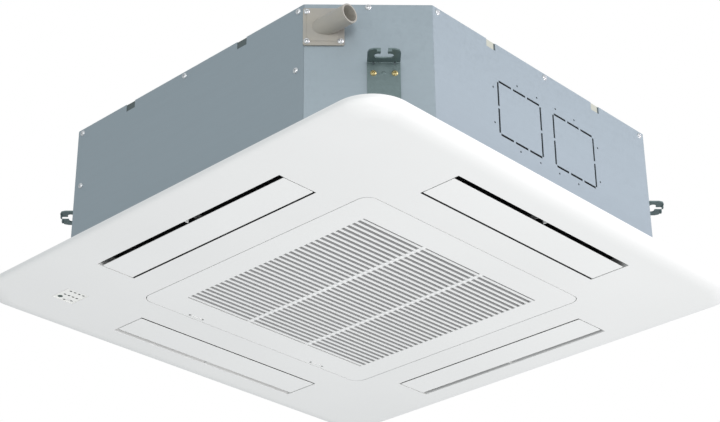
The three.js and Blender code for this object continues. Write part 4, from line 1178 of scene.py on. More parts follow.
@dataclass
class Display:
    """The square display in the panel's left corner."""

    middle: Flat = (-349.0, -361.0)
    half: float = 21.9
    corner: float = 1.6
    face: float = 3.0
    rim: float = 1.3
    sink: float = 0.5
    housing_top: float = 8.0
    ledge: Flat = (25.0, 3.3)
    window: tuple[float, float, float] = (-12.0, -12.0, 4.6)
    button: tuple[float, float, float] = (-14.0, 7.0, 3.0)
    rows: tuple[tuple[float, float], ...] = (
        (16.0, -11.0), (16.0, -2.0), (16.0, 7.0), (16.0, 16.0),
        (0.0, -11.0), (0.0, -2.5), (0.0, 6.0), (0.0, 14.5), (-18.0, 1.0), (-14.5, 14.0))
    lens: Flat = (1.8, 2.6)
    button_outline: tuple[Flat, ...] = (
        (-0.7, 0.35), (-0.2, 0.55), (0.0, 1.0), (0.0, 3.0), (1.3, 3.0), (1.3, 3.9), (0.0, 3.9),
        (0.0, 6.9))

    def at(self, place: Sequence[float]) -> Flat:
        """A place on the display, from its middle."""
        return self.middle[0] + place[0], self.middle[1] + place[1]

    def cover(self) -> Piece:
        """The cover: a rimmed face, its housing and the ledge behind the panel."""
        cover = plate("display_front", (self.half, self.half), self.corner, (0, self.face),
                      self.middle, 5)
        inner = self.half - self.rim
        cut(cover, plate("recess", (inner, inner), self.corner * 0.6, (-1, self.sink),
                         self.middle, 4))
        wide, level = self.ledge
        walls = plate("walls", (self.half - 0.4, self.half - 0.4), self.corner,
                      (self.face - 0.5, self.housing_top), self.middle, 5)
        ledge = plate("ledge", (wide, wide), 2, (level, level + 1.5), self.middle, 5)
        weld(cover, walls, ledge)
        inner = self.half - 2
        cut(cover, plate("hollow", (inner, inner), 1, (self.face - 0.4, self.housing_top + 1),
                         self.middle, 4))
        holes = [self.lens_block("hole", place, 0.05, (-1, self.face + 1)) for place in self.rows]
        for x, y, radius in (self.window, (*self.button[:2], self.button[2] + 0.5)):
            holes.append(rod("hole", radius, (*self.at((x, y)), -1), self.face + 2, sides=40))
        return smooth(face_out(cut(cover, *holes)))

    def lens_block(self, name: str, place: Flat, grow: float, level: Flat) -> Piece:
        """A small oblong plate at a place on the display."""
        across, along = self.lens
        return plate(name, (across + grow, along + grow), across * 0.9, level, self.at(place), 5)

    def build(self) -> None:
        """Makes the cover, the lenses, the receiver's window and the button."""
        place_piece(self.cover(), DISPLAY_WHITE, stands_for=["display_cover"])
        for number, place in enumerate(self.rows, 1):
            lens = self.lens_block(f"display_lens_{number}", place, 0,
                                   (self.sink + 0.15, self.face - 0.2))
            soften(lens, 0.25, 2)
            place_piece(smooth(lens), LENS_DARK)
        x, y, radius = self.window
        window = rod("receiver_window", radius - 0.15, (*self.at((x, y)), 0.35), 2.0, sides=40)
        soften(window, 0.5, 3)
        place_piece(smooth(window), LENS_GREEN)
        x, y, radius = self.button
        rim = [(radius + out, height) for out, height in self.button_outline]
        button = moved(lathe("display_button", [(0, rim[0][1]), *rim, (0, rim[-1][1])], 40),
                       Matrix.Translation((*self.at((x, y)), 0)))
        place_piece(smooth(button), VANE_WHITE, "button", ["control_button"])


# ---------------------------------------------------------------- casing


@dataclass
class Casing:
    """The galvanised casing: four sheets with rounded bends, and the top plate."""

    half: float = 420.0
    corner_cut: float = 141.0
    bottom: float = 28.0
    top: float = 274.0
    sheet: float = 1.2
    foot: float = 10.0
    bend: float = 3.0
    side_half: float = 279.0
    seam: float = 0.3
    lap: tuple[float, float, float] = (257.0, 280.3, 255.0)
    window: Flat = (22.0, 14.0)
    window_x: float = 138.0
    knockout: Flat = (108.0, 98.0)
    knockout_y: float = 71.0
    knockout_z: float = 155.5
    slot: float = 4.0
    bridge: float = 4.6
    pilot: float = 1.8
    margin: float = 12.0
    flange: float = 17.0
    passage: tuple[float, float, float] = (-69.0, 231.0, 14.6)
    pipe_window: tuple[float, float, float, float] = (-53.5, 140.0, 35.0, 31.0)
    corner_depth: float = 8.0
    seat_radii: tuple[float, float, float, float] = (96.0, 92.0, 70.0, 66.0)
    swage_half: Flat = (95.0, 11.0)
    swage_middle: float = 240.0
    slit: float = 3.6

    def outline_face(self, name: str, inset: float, height: float) -> Piece:
        """One flat face on the casing's eight-sided outline, with its bends rounded."""
        bpy.ops.object.select_all(action="DESELECT")
        bpy.ops.mesh.primitive_plane_add(size=2 * (self.half - inset), location=(0, 0, height))
        piece = settle(name)
        leg = self.corner_cut - inset * (2 - math.sqrt(2))
        with editing(piece, "VERT", everything=True):
            bpy.ops.mesh.bevel(offset=leg, segments=1, affect="VERTICES", clamp_overlap=False)
            bpy.ops.mesh.select_all(action="SELECT")
            bpy.ops.mesh.bevel(offset=self.bend * math.tan(math.pi / 8), segments=4,
                               affect="VERTICES", clamp_overlap=False)
        return piece

    def wall(self) -> Piece:
        """The casing's wall with its inward foot, before it is parted into sheets."""
        wall = self.outline_face("wall", 0, self.bottom)
        with editing(wall, "EDGE", everything=True):
            draw_out((0, 0, self.top - self.bottom))
            bpy.ops.mesh.select_all(action="SELECT")
            bpy.ops.mesh.select_mode(type="FACE")
            pick_faces(wall, lambda centre, normal: abs(normal.z) > FACING)
            bpy.ops.mesh.delete(type="ONLY_FACE")
        self.point_outwards(wall)
        finish_with(wall, "SOLIDIFY", thickness=self.sheet, offset=-1, use_even_offset=True)
        foot = self.slab("foot", self.sheet / 2, self.bottom, self.sheet)
        cut(foot, self.slab("inside", self.foot, self.bottom - 1, self.sheet + 2))
        return weld(wall, foot)

    def slab(self, name: str, inset: float, height: float, thickness: float) -> Piece:
        """A flat slab on the casing's outline."""
        slab = self.outline_face(name, inset, height)
        with editing(slab, everything=True):
            draw_out((0, 0, thickness))
        return face_out(slab)

    def point_outwards(self, wall: Piece) -> None:
        """Turns an open wall's faces round if its upright ones look inwards."""
        inwards = sum(face.area for face in wall.data.polygons
                      if face.normal.xy.dot(face.center.xy) < -1)
        outwards = sum(face.area for face in wall.data.polygons
                       if face.normal.xy.dot(face.center.xy) > 1)
        if inwards > outwards:
            with editing(wall, everything=True):
                bpy.ops.mesh.flip_normals()

    def part(self, wall: Piece, name: str, *planes: tuple[Point, Point]) -> Piece:
        """Copies the wall and keeps what lies beyond each plane.

        Args:
            wall: The whole wall.
            name: The sheet's name.
            planes: A point and a direction each; what lies along the direction stays.

        Returns:
            The sheet, closed at its cut edges.
        """
        sheet = twin(wall, name)
        for place, towards in planes:
            with editing(sheet, everything=True):
                bpy.ops.mesh.bisect(plane_co=place, plane_no=towards, use_fill=True,
                                    clear_inner=True, clear_outer=False)
        return sheet

    def top_windows(self) -> list[Piece]:
        """Cutters for the two windows in a side's top edge."""
        wide, high = self.window
        return [block("window", (x - wide / 2, -self.half - 1, self.top - high),
                      (x + wide / 2, -self.half + self.sheet + 0.1, self.top + 1))
                for x in (-self.window_x, self.window_x)]

    def knockouts(self) -> list[Piece]:
        """Cutters for the dashed lines and pilot holes of a side's two knock-outs."""
        near, far = -self.half - 1, -self.half + self.sheet + 1
        wide, high = self.knockout
        cuts = []
        for x in (-self.knockout_y, self.knockout_y):
            for end in ENDS:
                cuts += self.dashes((x + end * wide / 2, self.knockout_z - high / 2), high, 2,
                                    (near, far), upright=True)
                cuts += self.dashes((x - wide / 2, self.knockout_z + end * high / 2), wide, 3,
                                    (near, far), upright=False)
            out = math.copysign(1, x)
            dots = [(x + out * (wide / 2 + self.margin), self.knockout_z + end * high / 3)
                    for end in ENDS]
            for end in ENDS:
                level = self.knockout_z + end * (high / 2 + self.margin)
                dots += [(x - out * wide * 0.43, level), (x + out * 4, level)]
            cuts += [rod("pilot", self.pilot, (dot[0], near, dot[1]), far - near, Axis.Y, 12)
                     for dot in dots]
        return cuts

    def dashes(self, start: Flat, length: float, count: int, depth: Flat,
               upright: bool) -> list[Piece]:
        """Cutters for one dashed edge of a knock-out."""
        step = length / count
        made = []
        for i in range(count):
            low, high = i * step + self.bridge / 2, (i + 1) * step - self.bridge / 2
            across = self.slot / 2
            xs, zs = ((-across, across), (low, high)) if upright else ((low, high),
                                                                       (-across, across))
            made.append(block("dash", (start[0] + xs[0], depth[0], start[1] + zs[0]),
                              (start[0] + xs[1], depth[1], start[1] + zs[1])))
        return made

    def sheets(self) -> None:
        """Parts the wall into its four sheets and cuts each one's openings."""
        wall = self.wall()
        low, high = self.side_half - self.seam / 2, self.side_half + self.seam / 2
        front = self.part(wall, "front", ((low, 0, 0), (-1, 0, 0)), ((-low, 0, 0), (1, 0, 0)),
                          ((0, 0, 0), (0, -1, 0)))
        cut(front, *self.top_windows())
        wrap = self.part(wall, "wrap", ((high, 0, 0), (1, 0, 0)))
        left, right, lap_top = self.lap
        inner = self.half - self.sheet - SEAT
        for end in ENDS:
            ys = sorted((end * inner, end * (inner - self.sheet)))
            weld(wrap, block("lap", (left, ys[0], self.bottom + 3), (right, ys[1], lap_top)))
        cut(wrap, *(moved(tool, Side.RIGHT.turn)
                    for tool in self.top_windows() + self.knockouts()))
        sheets = {Side.FRONT: front, Side.BACK: twin(front, "back", turn_z(180)), Side.RIGHT: wrap,
                  Side.LEFT: twin(wrap, "left", turn_z(180))}
        face = -(2 * self.half - self.corner_cut) / math.sqrt(2)
        near, far = face - self.corner_depth, face + self.corner_depth
        along, height, radius = self.passage
        hole = rod("passage", radius, (along, near, height), 2 * self.corner_depth, Axis.Y, 40)
        cut(sheets[Side.RIGHT], moved(hole, Corner.NEAR.turn))
        along, height, wide, high = self.pipe_window
        hole = block("window", (along - wide, near, height - high),
                     (along + wide, far, height + high))
        cut(sheets[Side.LEFT], moved(hole, Corner.FAR.turn))
        for side, sheet in sheets.items():
            sheet.name = sheet.data.name = f"casing_sheet_{side.label}"
            place_piece(smooth(face_out(sheet), 30), GALVANISED,
                        stands_for=[f"casing_{side.label}"])
        discard(wall)

    def top_plate(self) -> None:
        """The top plate: a folded lid with a raised motor seat and stiffening swages."""
        inset = self.sheet + SEAT
        lid = self.outline_face("top_sheet", inset, self.top)
        with editing(lid, "EDGE"):
            pick_edges(lid, lambda a, b: True)
            draw_out((0, 0, -self.flange))
            bpy.ops.mesh.select_all(action="SELECT")
            bpy.ops.mesh.normals_make_consistent(inside=False)
        self.point_outwards(lid)
        finish_with(lid, "SOLIDIFY", thickness=self.sheet, offset=-1, use_even_offset=True)
        foot, rim, step, dish = self.seat_radii
        low, raised, sunk = self.top - 0.4, self.top + 2, self.top + 0.6
        seat = lathe("motor_seat", [(0, low), (foot, low), (rim, raised), (step, raised),
                                    (dish, sunk), (0, sunk)], 72)
        swages = []
        for turn in (45, 135, 225, 315):
            swage = plate("swage", self.swage_half, self.swage_half[1] - 0.1,
                          (low, self.top + 1.6), (self.swage_middle, 0), 10)
            with editing(swage, "EDGE"):
                pick_edges(swage, lambda a, b: min(a.z, b.z) > self.top + 1)
                bpy.ops.mesh.bevel(offset=1.4, segments=3, affect="EDGES")
            swages.append(moved(swage, turn_z(turn)))
        weld(lid, seat, *swages)
        place_piece(smooth(face_out(lid), 30), TOP_SHEET,
                    stands_for=["top_plate"])

    def window_pads(self) -> None:
        """What shows in each window: on two sides a dark grey block of painted shade over the whole
        window, on two a beige pad beside a slit filled with the same painted shade.
        """
        wide, high = self.window
        back, front, gap = -self.half + 1.4, -self.half + 0.5, 0.2
        low, top = self.top - high + gap, self.top - 0.6
        for side in Side:
            split = self.slit if side in (Side.RIGHT, Side.BACK) else wide - 2 * gap
            for number, x in enumerate((-self.window_x, self.window_x), 1):
                right = x + wide / 2 - gap
                # This dark block is painted shade on the flange behind the window.
                slit = block(f"window_shade_{side.label}_{number}",
                             (right - split, front + 0.4, low), (right, back, top))
                place_piece(moved(slit, side.turn), SHADE_GREY)
                if split < wide / 2:
                    pad = block(f"window_pad_{side.label}_{number}",
                                (x - wide / 2 + gap, front, low), (right - split - 0.1, back, top))
                    soften(pad, 0.2, 2)
                    place_piece(moved(pad, side.turn), PAD_BEIGE)

    def build(self) -> None:
        """Makes the sheets, the top plate and the windows' pads."""
        self.sheets()
        self.top_plate()
        self.window_pads()


@dataclass
class PanelGasket:
    """The soft foam gasket that is pressed between the panel and the drain pan."""

    casing: Casing
    inset: float = 10.8
    level: Flat = (24.35, 29.15)
    inner_half: float = 321.0
    inner_corner: float = 60.0
    outlet: tuple[float, float, float] = (217.0, 330.0, 406.0)
    edge: float = 1.3

    def build(self) -> None:
        """Makes the gasket with rounded edges."""
        low, high = self.level
        gasket = self.casing.slab("panel_gasket", self.inset, low, high - low)
        across, near, far = self.outlet
        cut(gasket, plate("inside", (self.inner_half, self.inner_half), self.inner_corner,
                          (low - PAST, high + PAST), steps=16))
        cut(gasket, *on_sides(block("opening", (-across, -far, low - PAST),
                                    (across, -near, high + PAST))))
        soften(face_out(gasket), self.edge, 3, 60)
        place_piece(smooth(gasket, 35), FOAM, stands_for=["panel_seal"])


@dataclass
class CupScrew:
    """A small cup-headed screw with a recess."""

    radius: float = 5.0
    height: float = 2.8
    recess: float = 2.1
    depth: float = 2.6
    shank: float = 2.0
    length: float = 6.0

    def pattern(self) -> Piece:
        """The screw, pointing up from a face at Z 0."""
        profile = [(0, self.height - self.depth), (self.recess * 0.7, self.height - self.depth),
                   (self.recess, self.height - 0.2), (self.recess + 0.4, self.height),
                   (self.radius * 0.66, self.height * 0.95),
                   (self.radius * 0.9, self.height * 0.62), (self.radius, self.height * 0.3),
                   (self.radius, 0.02), (self.shank, 0.02),
                   (self.shank, -self.length), (0, -self.length)]
        return smooth(lathe("screw_pattern", profile, 20), 38)


@dataclass
class Fasteners:
    """The screws of the casing, of the drain socket's flange and of the hanger brackets."""

    screw: CupScrew
    casing_half: float = 420.0
    corner_face: float = 494.27
    side_screws: tuple[Flat, ...] = ((-267.0, 266.0), (0.0, 266.0), (267.0, 266.0),
                                     (-262.0, 160.0), (262.0, 160.0))
    corner_screws: tuple[Flat, ...] = ((0.0, 269.0),)
    flange_screws: tuple[Flat, ...] = ((-95.0, 204.0), (-43.0, 204.0), (-95.0, 258.0),
                                       (-43.0, 258.0))
    hanger_offset: float = 22.5
    hanger_screws: tuple[Flat, ...] = ((-16.0, 147.0), (16.7, 147.0))
    bracket_skin: float = 2.8
    flange_skin: float = 3.3

    def drive(self, pattern: Piece, name: str, place: Flat, face: float, turn: Matrix,
              finish: Finish) -> None:
        """Puts one screw on a wall.

        Args:
            pattern: The screw to copy.
            name: Its name.
            place: Its place along the wall and its height.
            face: How far the wall's face is from the axis.
            turn: The turn from a wall that faces -Y.
            finish: Its finish.
        """
        lay = on_wall((place[0], -face, place[1]))
        place_piece(twin(pattern, name, turn @ lay), finish)

    def build(self) -> None:
        """Drives every screw."""
        pattern = self.screw.pattern()
        for side in Side:
            edge_rows = self.side_screws if side in (Side.FRONT, Side.BACK) else (
                self.side_screws[:3])
            for number, place in enumerate(edge_rows, 1):
                self.drive(pattern, f"casing_screw_{side.label}_{number}", place,
                           self.casing_half, side.turn, SCREW_ZINC)
        for corner in Corner:
            for place in self.corner_screws:
                self.drive(pattern, f"corner_screw_{corner.label}", place, self.corner_face,
                           corner.turn, SCREW_ZINC)
            sign = 1 if corner in (Corner.NEAR, Corner.FAR) else -1
            for number, (along, height) in enumerate(self.hanger_screws, 1):
                self.drive(pattern, f"hanger_screw_{corner.label}_{number}",
                           (sign * (self.hanger_offset + along), height),
                           self.corner_face + self.bracket_skin, corner.turn, SCREW_GOLD)
        for number, place in enumerate(self.flange_screws, 1):
            self.drive(pattern, f"flange_screw_{number}", place,
                       self.corner_face + self.flange_skin, Corner.NEAR.turn, SCREW_ZINC)
        discard(pattern)


# ---------------------------------------------------------------- hangers and drain socket


@dataclass
class HangerBracket:
    """The folded bracket on each cut corner, with a T slot for a suspension rod."""

    face: float = 494.57
    offset: float = 22.5
    width: float = 51.0
    thickness: float = 2.5
    foot: float = 40.0
    tab_z: float = 167.0
    edge: float = 532.87
    slot_out: float = 514.27
    slot: Flat = (15.0, 6.0)
    mouth: float = 5.5
    nip: float = 10.0
    lip: tuple[float, float, float] = (5.5, 11.5, 4.0)
    emboss: float = 3.5
    emboss_z: float = 147.0
    outer_bend: float = 3.6
    inner_bend: float = 1.1
    notches: Flat = (-16.0, 16.7)
    notch_half: float = 1.2

    def pattern(self, sign: int) -> Piece:
        """One bracket on a wall that faces -Y.

        Args:
            sign: 1 if it stands towards +X of the corner's middle, -1 if towards -X.

        Returns:
            The bracket.
        """
        middle = sign * self.offset
        left, right = middle - self.width / 2, middle + self.width / 2
        top = self.tab_z + self.thickness
        bracket = block("bracket", (left, -self.face - self.thickness, self.foot),
                        (right, -self.face, top))
        tab = block("tab", (left, -self.edge, self.tab_z), (right, -self.face - 1, top))
        with editing(tab, "EDGE"):
            pick_edges(tab, lambda a, b: abs(a.z - b.z) > 1 and a.y < -self.edge + 1)
            bpy.ops.mesh.bevel(offset=self.nip, segments=2, affect="EDGES")
        weld(bracket, tab)
        with editing(face_out(bracket), "EDGE"):
            pick_edges(bracket, lambda a, b: abs(a.x - b.x) > 10 and a.z > top - NEAR_ZERO
                       and b.z > top - NEAR_ZERO and a.y > -self.face - NEAR_ZERO
                       and b.y > -self.face - NEAR_ZERO)
            bpy.ops.mesh.bevel(offset=self.outer_bend, segments=5, affect="EDGES")
            pick_edges(bracket, lambda a, b: abs(a.x - b.x) > 10
                       and abs(a.z - self.tab_z) < NEAR_ZERO and abs(b.z - self.tab_z) < NEAR_ZERO
                       and a.y > -self.face - self.thickness - NEAR_ZERO)
            bpy.ops.mesh.bevel(offset=self.inner_bend, segments=3, affect="EDGES")
        for tool in self.cutters(middle):
            cut(bracket, tool)
        near, far, drop = self.lip
        lips = []
        for end in ENDS:
            low, high = sorted((middle + end * near, middle + end * far))
            lips.append(block("lip", (low, -self.edge, self.tab_z - drop),
                              (high, -self.edge + self.thickness, self.tab_z + 1)))
        weld(bracket, *lips)
        dimple = moved(lathe("dimple", [(0, 0.9), (self.emboss * 0.65, 0.9), (self.emboss, 0),
                                        (self.emboss, -1), (0, -1)], 24),
                       on_wall((middle, -self.face - self.thickness, self.emboss_z)))
        weld(bracket, dimple)
        return smooth(soften(face_out(bracket), 0.3, 2, 50), 30)

    def cutters(self, middle: float) -> list[Piece]:
        """The T slot with its mouth, and the two relief notches at the bend."""
        half, across = self.slot
        level = (self.tab_z - 8, self.tab_z + self.thickness + 2)
        slot = plate("slot", (half, across), across - 0.1, level, (middle, -self.slot_out), 8)
        mouth = block("mouth", (middle - self.mouth, -self.edge - 1, level[0]),
                      (middle + self.mouth, -self.slot_out, level[1]))
        notches = [block("notch", (middle + at - self.notch_half,
                                   -self.face - self.thickness - PAST, self.tab_z - 4),
                         (middle + at + self.notch_half, -self.face + PAST, self.tab_z + 0.6))
                   for at in self.notches]
        return [slot, mouth, *notches]

    def build(self) -> None:
        """Makes the bracket in its two hands and puts one on each corner."""
        for sign, corners in ((1, (Corner.NEAR, Corner.FAR)), (-1, (Corner.RIGHT, Corner.LEFT))):
            pattern = self.pattern(sign)
            for corner in corners:
                bracket = twin(pattern, f"hanger_{corner.label}", corner.turn)
                place_piece(bracket, BRACKET_ZINC,
                            stands_for=[f"hanger_bracket_{corner.label}"])
            discard(pattern)


@dataclass
class DrainSocket:
    """The translucent drain socket: a screwed flange with a pipe that leaves it aslant."""

    along: float = -69.0
    height: float = 231.0
    face: float = 494.57
    flange_half: Flat = (32.0, 34.0)
    flange: float = 3.0
    pad_half: Flat = (24.0, 27.0)
    pad: float = 1.2
    radius: float = 16.0
    bore: float = 13.4
    reach: float = 56.0
    stub: Flat = (14.0, 10.5)
    stub_reach: float = 40.0

    def build(self) -> None:
        """Makes the socket on the near corner."""
        turn = Corner.NEAR.turn
        front = -self.face - self.flange
        lay = on_wall((self.along, -self.face, self.height))
        socket = moved(plate("drain_socket_body", self.flange_half, 3, (0, self.flange)), lay)
        pad = moved(plate("pad", self.pad_half, 2, (self.flange - 1, self.flange + self.pad),
                          (-2, 0)), lay)
        weld(socket, pad)
        soften(socket, 0.5, 2, 50)
        start = turn @ Vector((self.along, -self.face, self.height))
        pipe = rod("pipe", self.radius, start - Vector((30, 0, 0)), 30 + self.reach, Axis.X, 56)
        mask = moved(block("mask", (-300, front - 300, 0), (300, front + 1.5, 400)), turn)
        combine(pipe, mask, "INTERSECT")
        moved(pipe, turn.inverted())
        weld(socket, pipe)
        outer, inner = self.stub
        weld(socket, rod("stub", outer, (self.along, -self.face - 1.5, self.height),
                         self.stub_reach + 1.8, Axis.Y, 40))
        bore = moved(rod("bore", self.bore, start - Vector((3, 0, 0)), self.reach + 4, Axis.X, 56),
                     turn.inverted())
        cut(socket, bore)
        cut(socket, rod("stub_bore", inner, (self.along, -self.face - 3, self.height),
                        self.stub_reach + 5, Axis.Y, 40))
        moved(face_out(socket), turn)
        place_piece(smooth(soften(socket, 0.4, 2, 60), 30), SOCKET_PLASTIC,
                    stands_for=["drain_socket"])


# ---------------------------------------------------------------- fan and bell mouth


@dataclass
class FanAndMouth:
    """The turbo fan and the bell mouth below it, which show when the grille hangs open."""

    mouth_radius: float = 185.0
    throat: float = 150.0
    bell_bottom: float = 74.3
    bell_height: float = 42.0
    bell_wall: float = 2.5
    bell_half: float = 262.0
    step: float = 0.2
    fan: float = 225.0
    fan_top: float = 244.0
    fan_wall: float = 3.0
    inlet: float = 159.5
    shroud: Flat = (108.3, 146.3)
    hub: tuple[float, float, float] = (58.0, 164.0, 115.0)
    blades: int = 7
    blade: tuple[float, float, float] = (152.0, 34.0, 3.2)
    blade_lift: float = 12.0
    steps: int = 10

    def bell(self) -> Piece:
        """The square plate with its curved mouth."""
        bell = plate("bell_mouth_main", (self.bell_half, self.bell_half), 30,
                     (self.bell_bottom, self.bell_bottom + self.bell_wall))
        cut(bell, rod("hole", self.mouth_radius + 1, (0, 0, self.bell_bottom - 1),
                      self.bell_wall + 2, sides=96))
        low = self.bell_bottom + self.step
        inside = [(self.throat + (self.mouth_radius - self.throat) * (1 - sine),
                   low + (self.bell_height - self.step) * (1 - cosine))
                  for sine, cosine in quarter_turn(self.steps)]
        outside = [(radius + self.bell_wall, height) for radius, height in reversed(inside)]
        curve = lathe("curve", [*inside, *outside], 96)
        return smooth(face_out(weld(bell, curve)), 30)

    def shroud_line(self, shift: float) -> list[Flat]:
        """The shroud's curve from its inlet to its rim, moved inwards by a shift."""
        low, high = self.shroud
        width = self.fan - self.inlet
        line = []
        for sine, cosine in quarter_turn(self.steps):
            across, up = -(high - low) * cosine, width * sine
            length = math.hypot(across, up)
            line.append((self.inlet + width * (1 - cosine) + shift * across / length,
                         low + (high - low) * sine + shift * up / length))
        return line

    def blade_foot(self, radius: float) -> float:
        """The height of a blade's lower edge, inside the shroud's wall where it meets it."""
        line = self.shroud_line(self.fan_wall / 2)
        height = self.shroud[0] + self.blade_lift
        for (near, low), (far, high) in zip(line, line[1:]):
            if near <= radius <= far:
                height = max(height, low + (high - low) * (radius - near) / (far - near))
        return height

    def one_blade(self) -> Piece:
        """One backward-curved blade, drawn out along its curve with its foot in the shroud."""
        inner, sweep, thickness = self.blade
        foot = self.blade_foot(inner)
        blade = block("blade", (inner, -thickness / 2, foot),
                      (inner + 1, thickness / 2, self.fan_top - self.fan_wall / 2))
        here, heading = Vector((inner + 1, 0, 0)), 0.0
        with editing(blade):
            pick_faces(blade, lambda centre, normal: normal.x > FACING)
            for step in range(1, self.steps + 1):
                share = step / self.steps
                radius, angle = inner + (self.fan - 1 - inner) * share, math.radians(sweep * share)
                there = Vector((radius * math.cos(angle), radius * math.sin(angle), 0))
                draw_out(there - here)
                course = math.atan2((there - here).y, (there - here).x)
                bpy.ops.transform.rotate(value=heading - course, orient_axis="Z",
                                         center_override=there)
                rise, foot = self.blade_foot(radius) - foot, self.blade_foot(radius)
                pick_edges(blade, lambda a, b: all(
                    (end.xy - there.xy).length < thickness and end.z < foot - rise + 1
                    for end in (a, b)))
                bpy.ops.transform.translate(value=(0, 0, rise))
                pick_faces(blade, lambda centre, normal: (centre.xy - there.xy).length < 0.1)
                here, heading = there, course
        return blade

    def rotor(self) -> Piece:
        """The fan: back plate and hub, shroud and blades."""
        hub, floor, shoulder = self.hub
        top, wall = self.fan_top, self.fan_wall
        rotor = lathe("fan_rotor_main", [
            (self.fan, top - wall), (self.fan, top), (shoulder, top), (hub + 8, floor + 6),
            (hub, floor), (6.3, floor), (6.3, floor - 2 * wall), (16, floor - 2 * wall),
            (16, floor - wall), (hub + 1, floor - wall), (hub + 10.5, floor + 3.5),
            (shoulder + 3, top - wall)], 96)
        shroud = lathe("shroud", [*self.shroud_line(0), *reversed(self.shroud_line(wall))], 96)
        blade = self.one_blade()
        blades = [twin(blade, "blade", turn_z(360 * i / self.blades)) for i in range(self.blades)]
        discard(blade)
        weld(rotor, *blades)
        weld(rotor, shroud)
        return smooth(face_out(rotor), 30)

    def build(self) -> None:
        """Makes the bell mouth and the fan."""
        place_piece(self.bell(), BELL_WHITE, stands_for=["bell_mouth"])
        place_piece(self.rotor(), FAN_GREY, "fan", ["fan_rotor"])


# ---------------------------------------------------------------- finishes of the frame's nodes


@dataclass
class FrameFinishes:
    """The finishes of the frame's nodes, each with the starts of the names it goes on."""

    finishes: dict[Finish, str]

    def build(self) -> None:
        """Dresses each node by the longest name start that fits it."""
        by_start = {start: finish for finish, starts in self.finishes.items()
                    for start in starts.split()}
        for name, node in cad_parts.items():
            fitting = [start for start in by_start if name.startswith(start)]
            if fitting:
                dress(node, by_start[max(fitting, key=len)])
            else:
                LOG.warning("%s has no finish", name)


# ---------------------------------------------------------------- studio


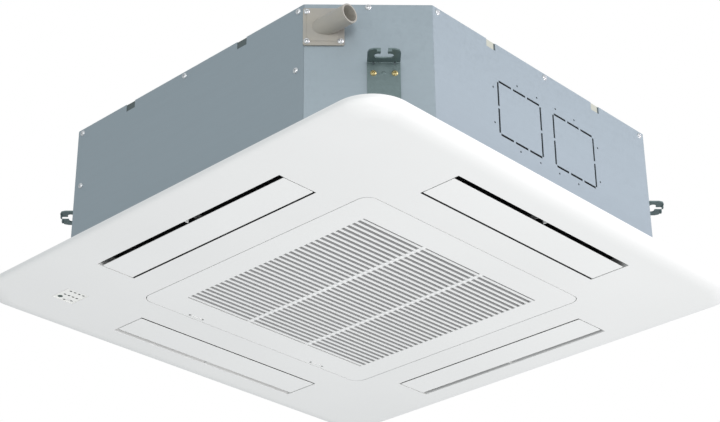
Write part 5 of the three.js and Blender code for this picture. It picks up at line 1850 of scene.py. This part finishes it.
@dataclass
class Studio:
    """The camera of the photograph, a white surround, soft lights and a pale floor."""

    camera_place: Point = (1.887735, -1.997946, -1.275118)
    yaw: float = 43.41704873577767
    pitch: float = 27.769489939360135
    roll: float = -0.5378762570924646
    lens: float = 87.449
    sensor: float = 36.0
    floor_z: float = -7.0
    surround: Colour = WHITE
    ambient: float = 0.64
    ambient_tint: Colour = (0.95, 1.0, 1.03)

    def camera(self) -> None:
        """Sets up the camera at the photograph's place."""
        yaw, pitch, roll = (math.radians(a) for a in (self.yaw, self.pitch, self.roll))
        forward = Vector((-math.sin(yaw) * math.cos(pitch), math.cos(yaw) * math.cos(pitch),
                          math.sin(pitch)))
        right = Vector((math.cos(yaw), math.sin(yaw), 0))
        up = right.cross(forward)
        across = right * math.cos(roll) + up * math.sin(roll)
        upright = up * math.cos(roll) - right * math.sin(roll)
        data = bpy.data.cameras.new("camera")
        data.lens, data.sensor_width = self.lens, self.sensor
        camera = bpy.data.objects.new("camera", data)
        camera.matrix_world = Matrix.Translation(self.camera_place) @ Matrix(
            (across, upright, -forward)).transposed().to_4x4()
        bpy.context.scene.collection.objects.link(camera)
        bpy.context.scene.camera = camera

    def world(self) -> None:
        """A surround that is white to the camera and a little dimmer to the object."""
        world = bpy.data.worlds.new("surround")
        bpy.context.scene.world = world
        world.use_nodes = True
        world.node_tree.nodes.clear()
        book = NodeBook(world.node_tree)
        seen = book.add("ShaderNodeBackground", Color=(*self.surround, 1.0), Strength=1.0)
        felt = book.add("ShaderNodeBackground", Color=(*self.ambient_tint, 1.0),
                        Strength=self.ambient)
        ray = book.add("ShaderNodeLightPath")
        mixed = book.feed("ShaderNodeMixShader", ray.outputs["Is Camera Ray"], felt.outputs[0],
                          seen.outputs[0])
        book.add("ShaderNodeOutputWorld", Surface=mixed)

    def light(self, name: str, place: Point, aim: Point, size: float, power: float,
              colour: Colour = WHITE) -> None:
        """Adds a soft square light that looks at a point."""
        data = bpy.data.lights.new(name, "AREA")
        data.size, data.energy, data.color = size, power, colour
        light = bpy.data.objects.new(name, data)
        light.location = place
        light.rotation_euler = (Vector(aim) - Vector(place)).to_track_quat("-Z", "Y").to_euler()
        bpy.context.scene.collection.objects.link(light)

    def floor(self) -> None:
        """A pale floor far below, outside the camera's view."""
        bpy.ops.object.select_all(action="DESELECT")
        bpy.ops.mesh.primitive_plane_add(size=60, location=(0, 0, self.floor_z))
        floor = settle("floor")
        dress(floor, FLOOR_PALE)

    def build(self) -> None:
        """Sets the whole studio."""
        bpy.context.scene.view_settings.view_transform = "Standard"
        self.camera()
        self.world()
        self.light("right_key", (4.4, 2.3, 0.6), (0.3, 0, 0.15), 3.0, 112.0, (1.0, 0.92, 1.0))
        self.light("under_fill", (1.8, 0.4, -3.0), (0, 0, 0), 2.5, 76.0, (1.0, 0.98, 0.97))
        self.light("corner_fill", (3.4, -2.9, 0.3), (0.3, -0.3, 0.1), 1.5, 48.0, (1.0, 0.98, 0.97))
        self.light("left_flash", (0.6, -2.8, -0.6), (0.3, -0.3, 0.1), 0.3, 6.0)
        self.floor()


def main() -> None:
    """Builds the sub-assemblies in order."""
    logging.basicConfig(level=logging.INFO, format="%(message)s")
    FrameFinishes({
        PANEL_WHITE: "panel", VANE_WHITE: "vane control_button", GRILLE_WHITE: "grille latch",
        DISPLAY_WHITE: "display_cover", BELL_WHITE: "bell_mouth float", FAN_GREY: "fan_rotor",
        GREY_PLASTIC: "vane_motor filter_frame", NET_AND_SHADE: "filter_net", HOSE_GREY: "drain_hose",
        DARK_PLASTIC_AND_SHADE: "pump_impeller pump_motor terminal_block", PAN_GREY: "drain_pan",
        SOCKET_PLASTIC: "drain_socket pump_housing float_stem", RUBBER: "motor_cushion",
        FOAM: "panel_seal casing_liner top_liner", BOARD_GREEN: "display_board circuit_board",
        GALVANISED: "casing pipe_plate control_box", TOP_SHEET: "top_plate",
        BRACKET_ZINC: "hanger_bracket pump_bracket", FINS: "coil_fins",
        STEEL: "panel_bolt coil_end motor_shaft fan_nut fan_motor",
        COPPER: "gas_pipe liquid_pipe", BRASS: "gas_flare_nut liquid_flare_nut",
    }).build()
    DecorPanel().build()
    Vanes().build()
    IntakeGrille().build()
    Latch("back", 150.0).build()
    Latch("front", -150.0).build()
    Display().build()
    casing = Casing()
    casing.build()
    PanelGasket(casing).build()
    Fasteners(CupScrew()).build()
    HangerBracket().build()
    DrainSocket().build()
    FanAndMouth().build()
    Studio().build()


if __name__ == "__main__":
    main()
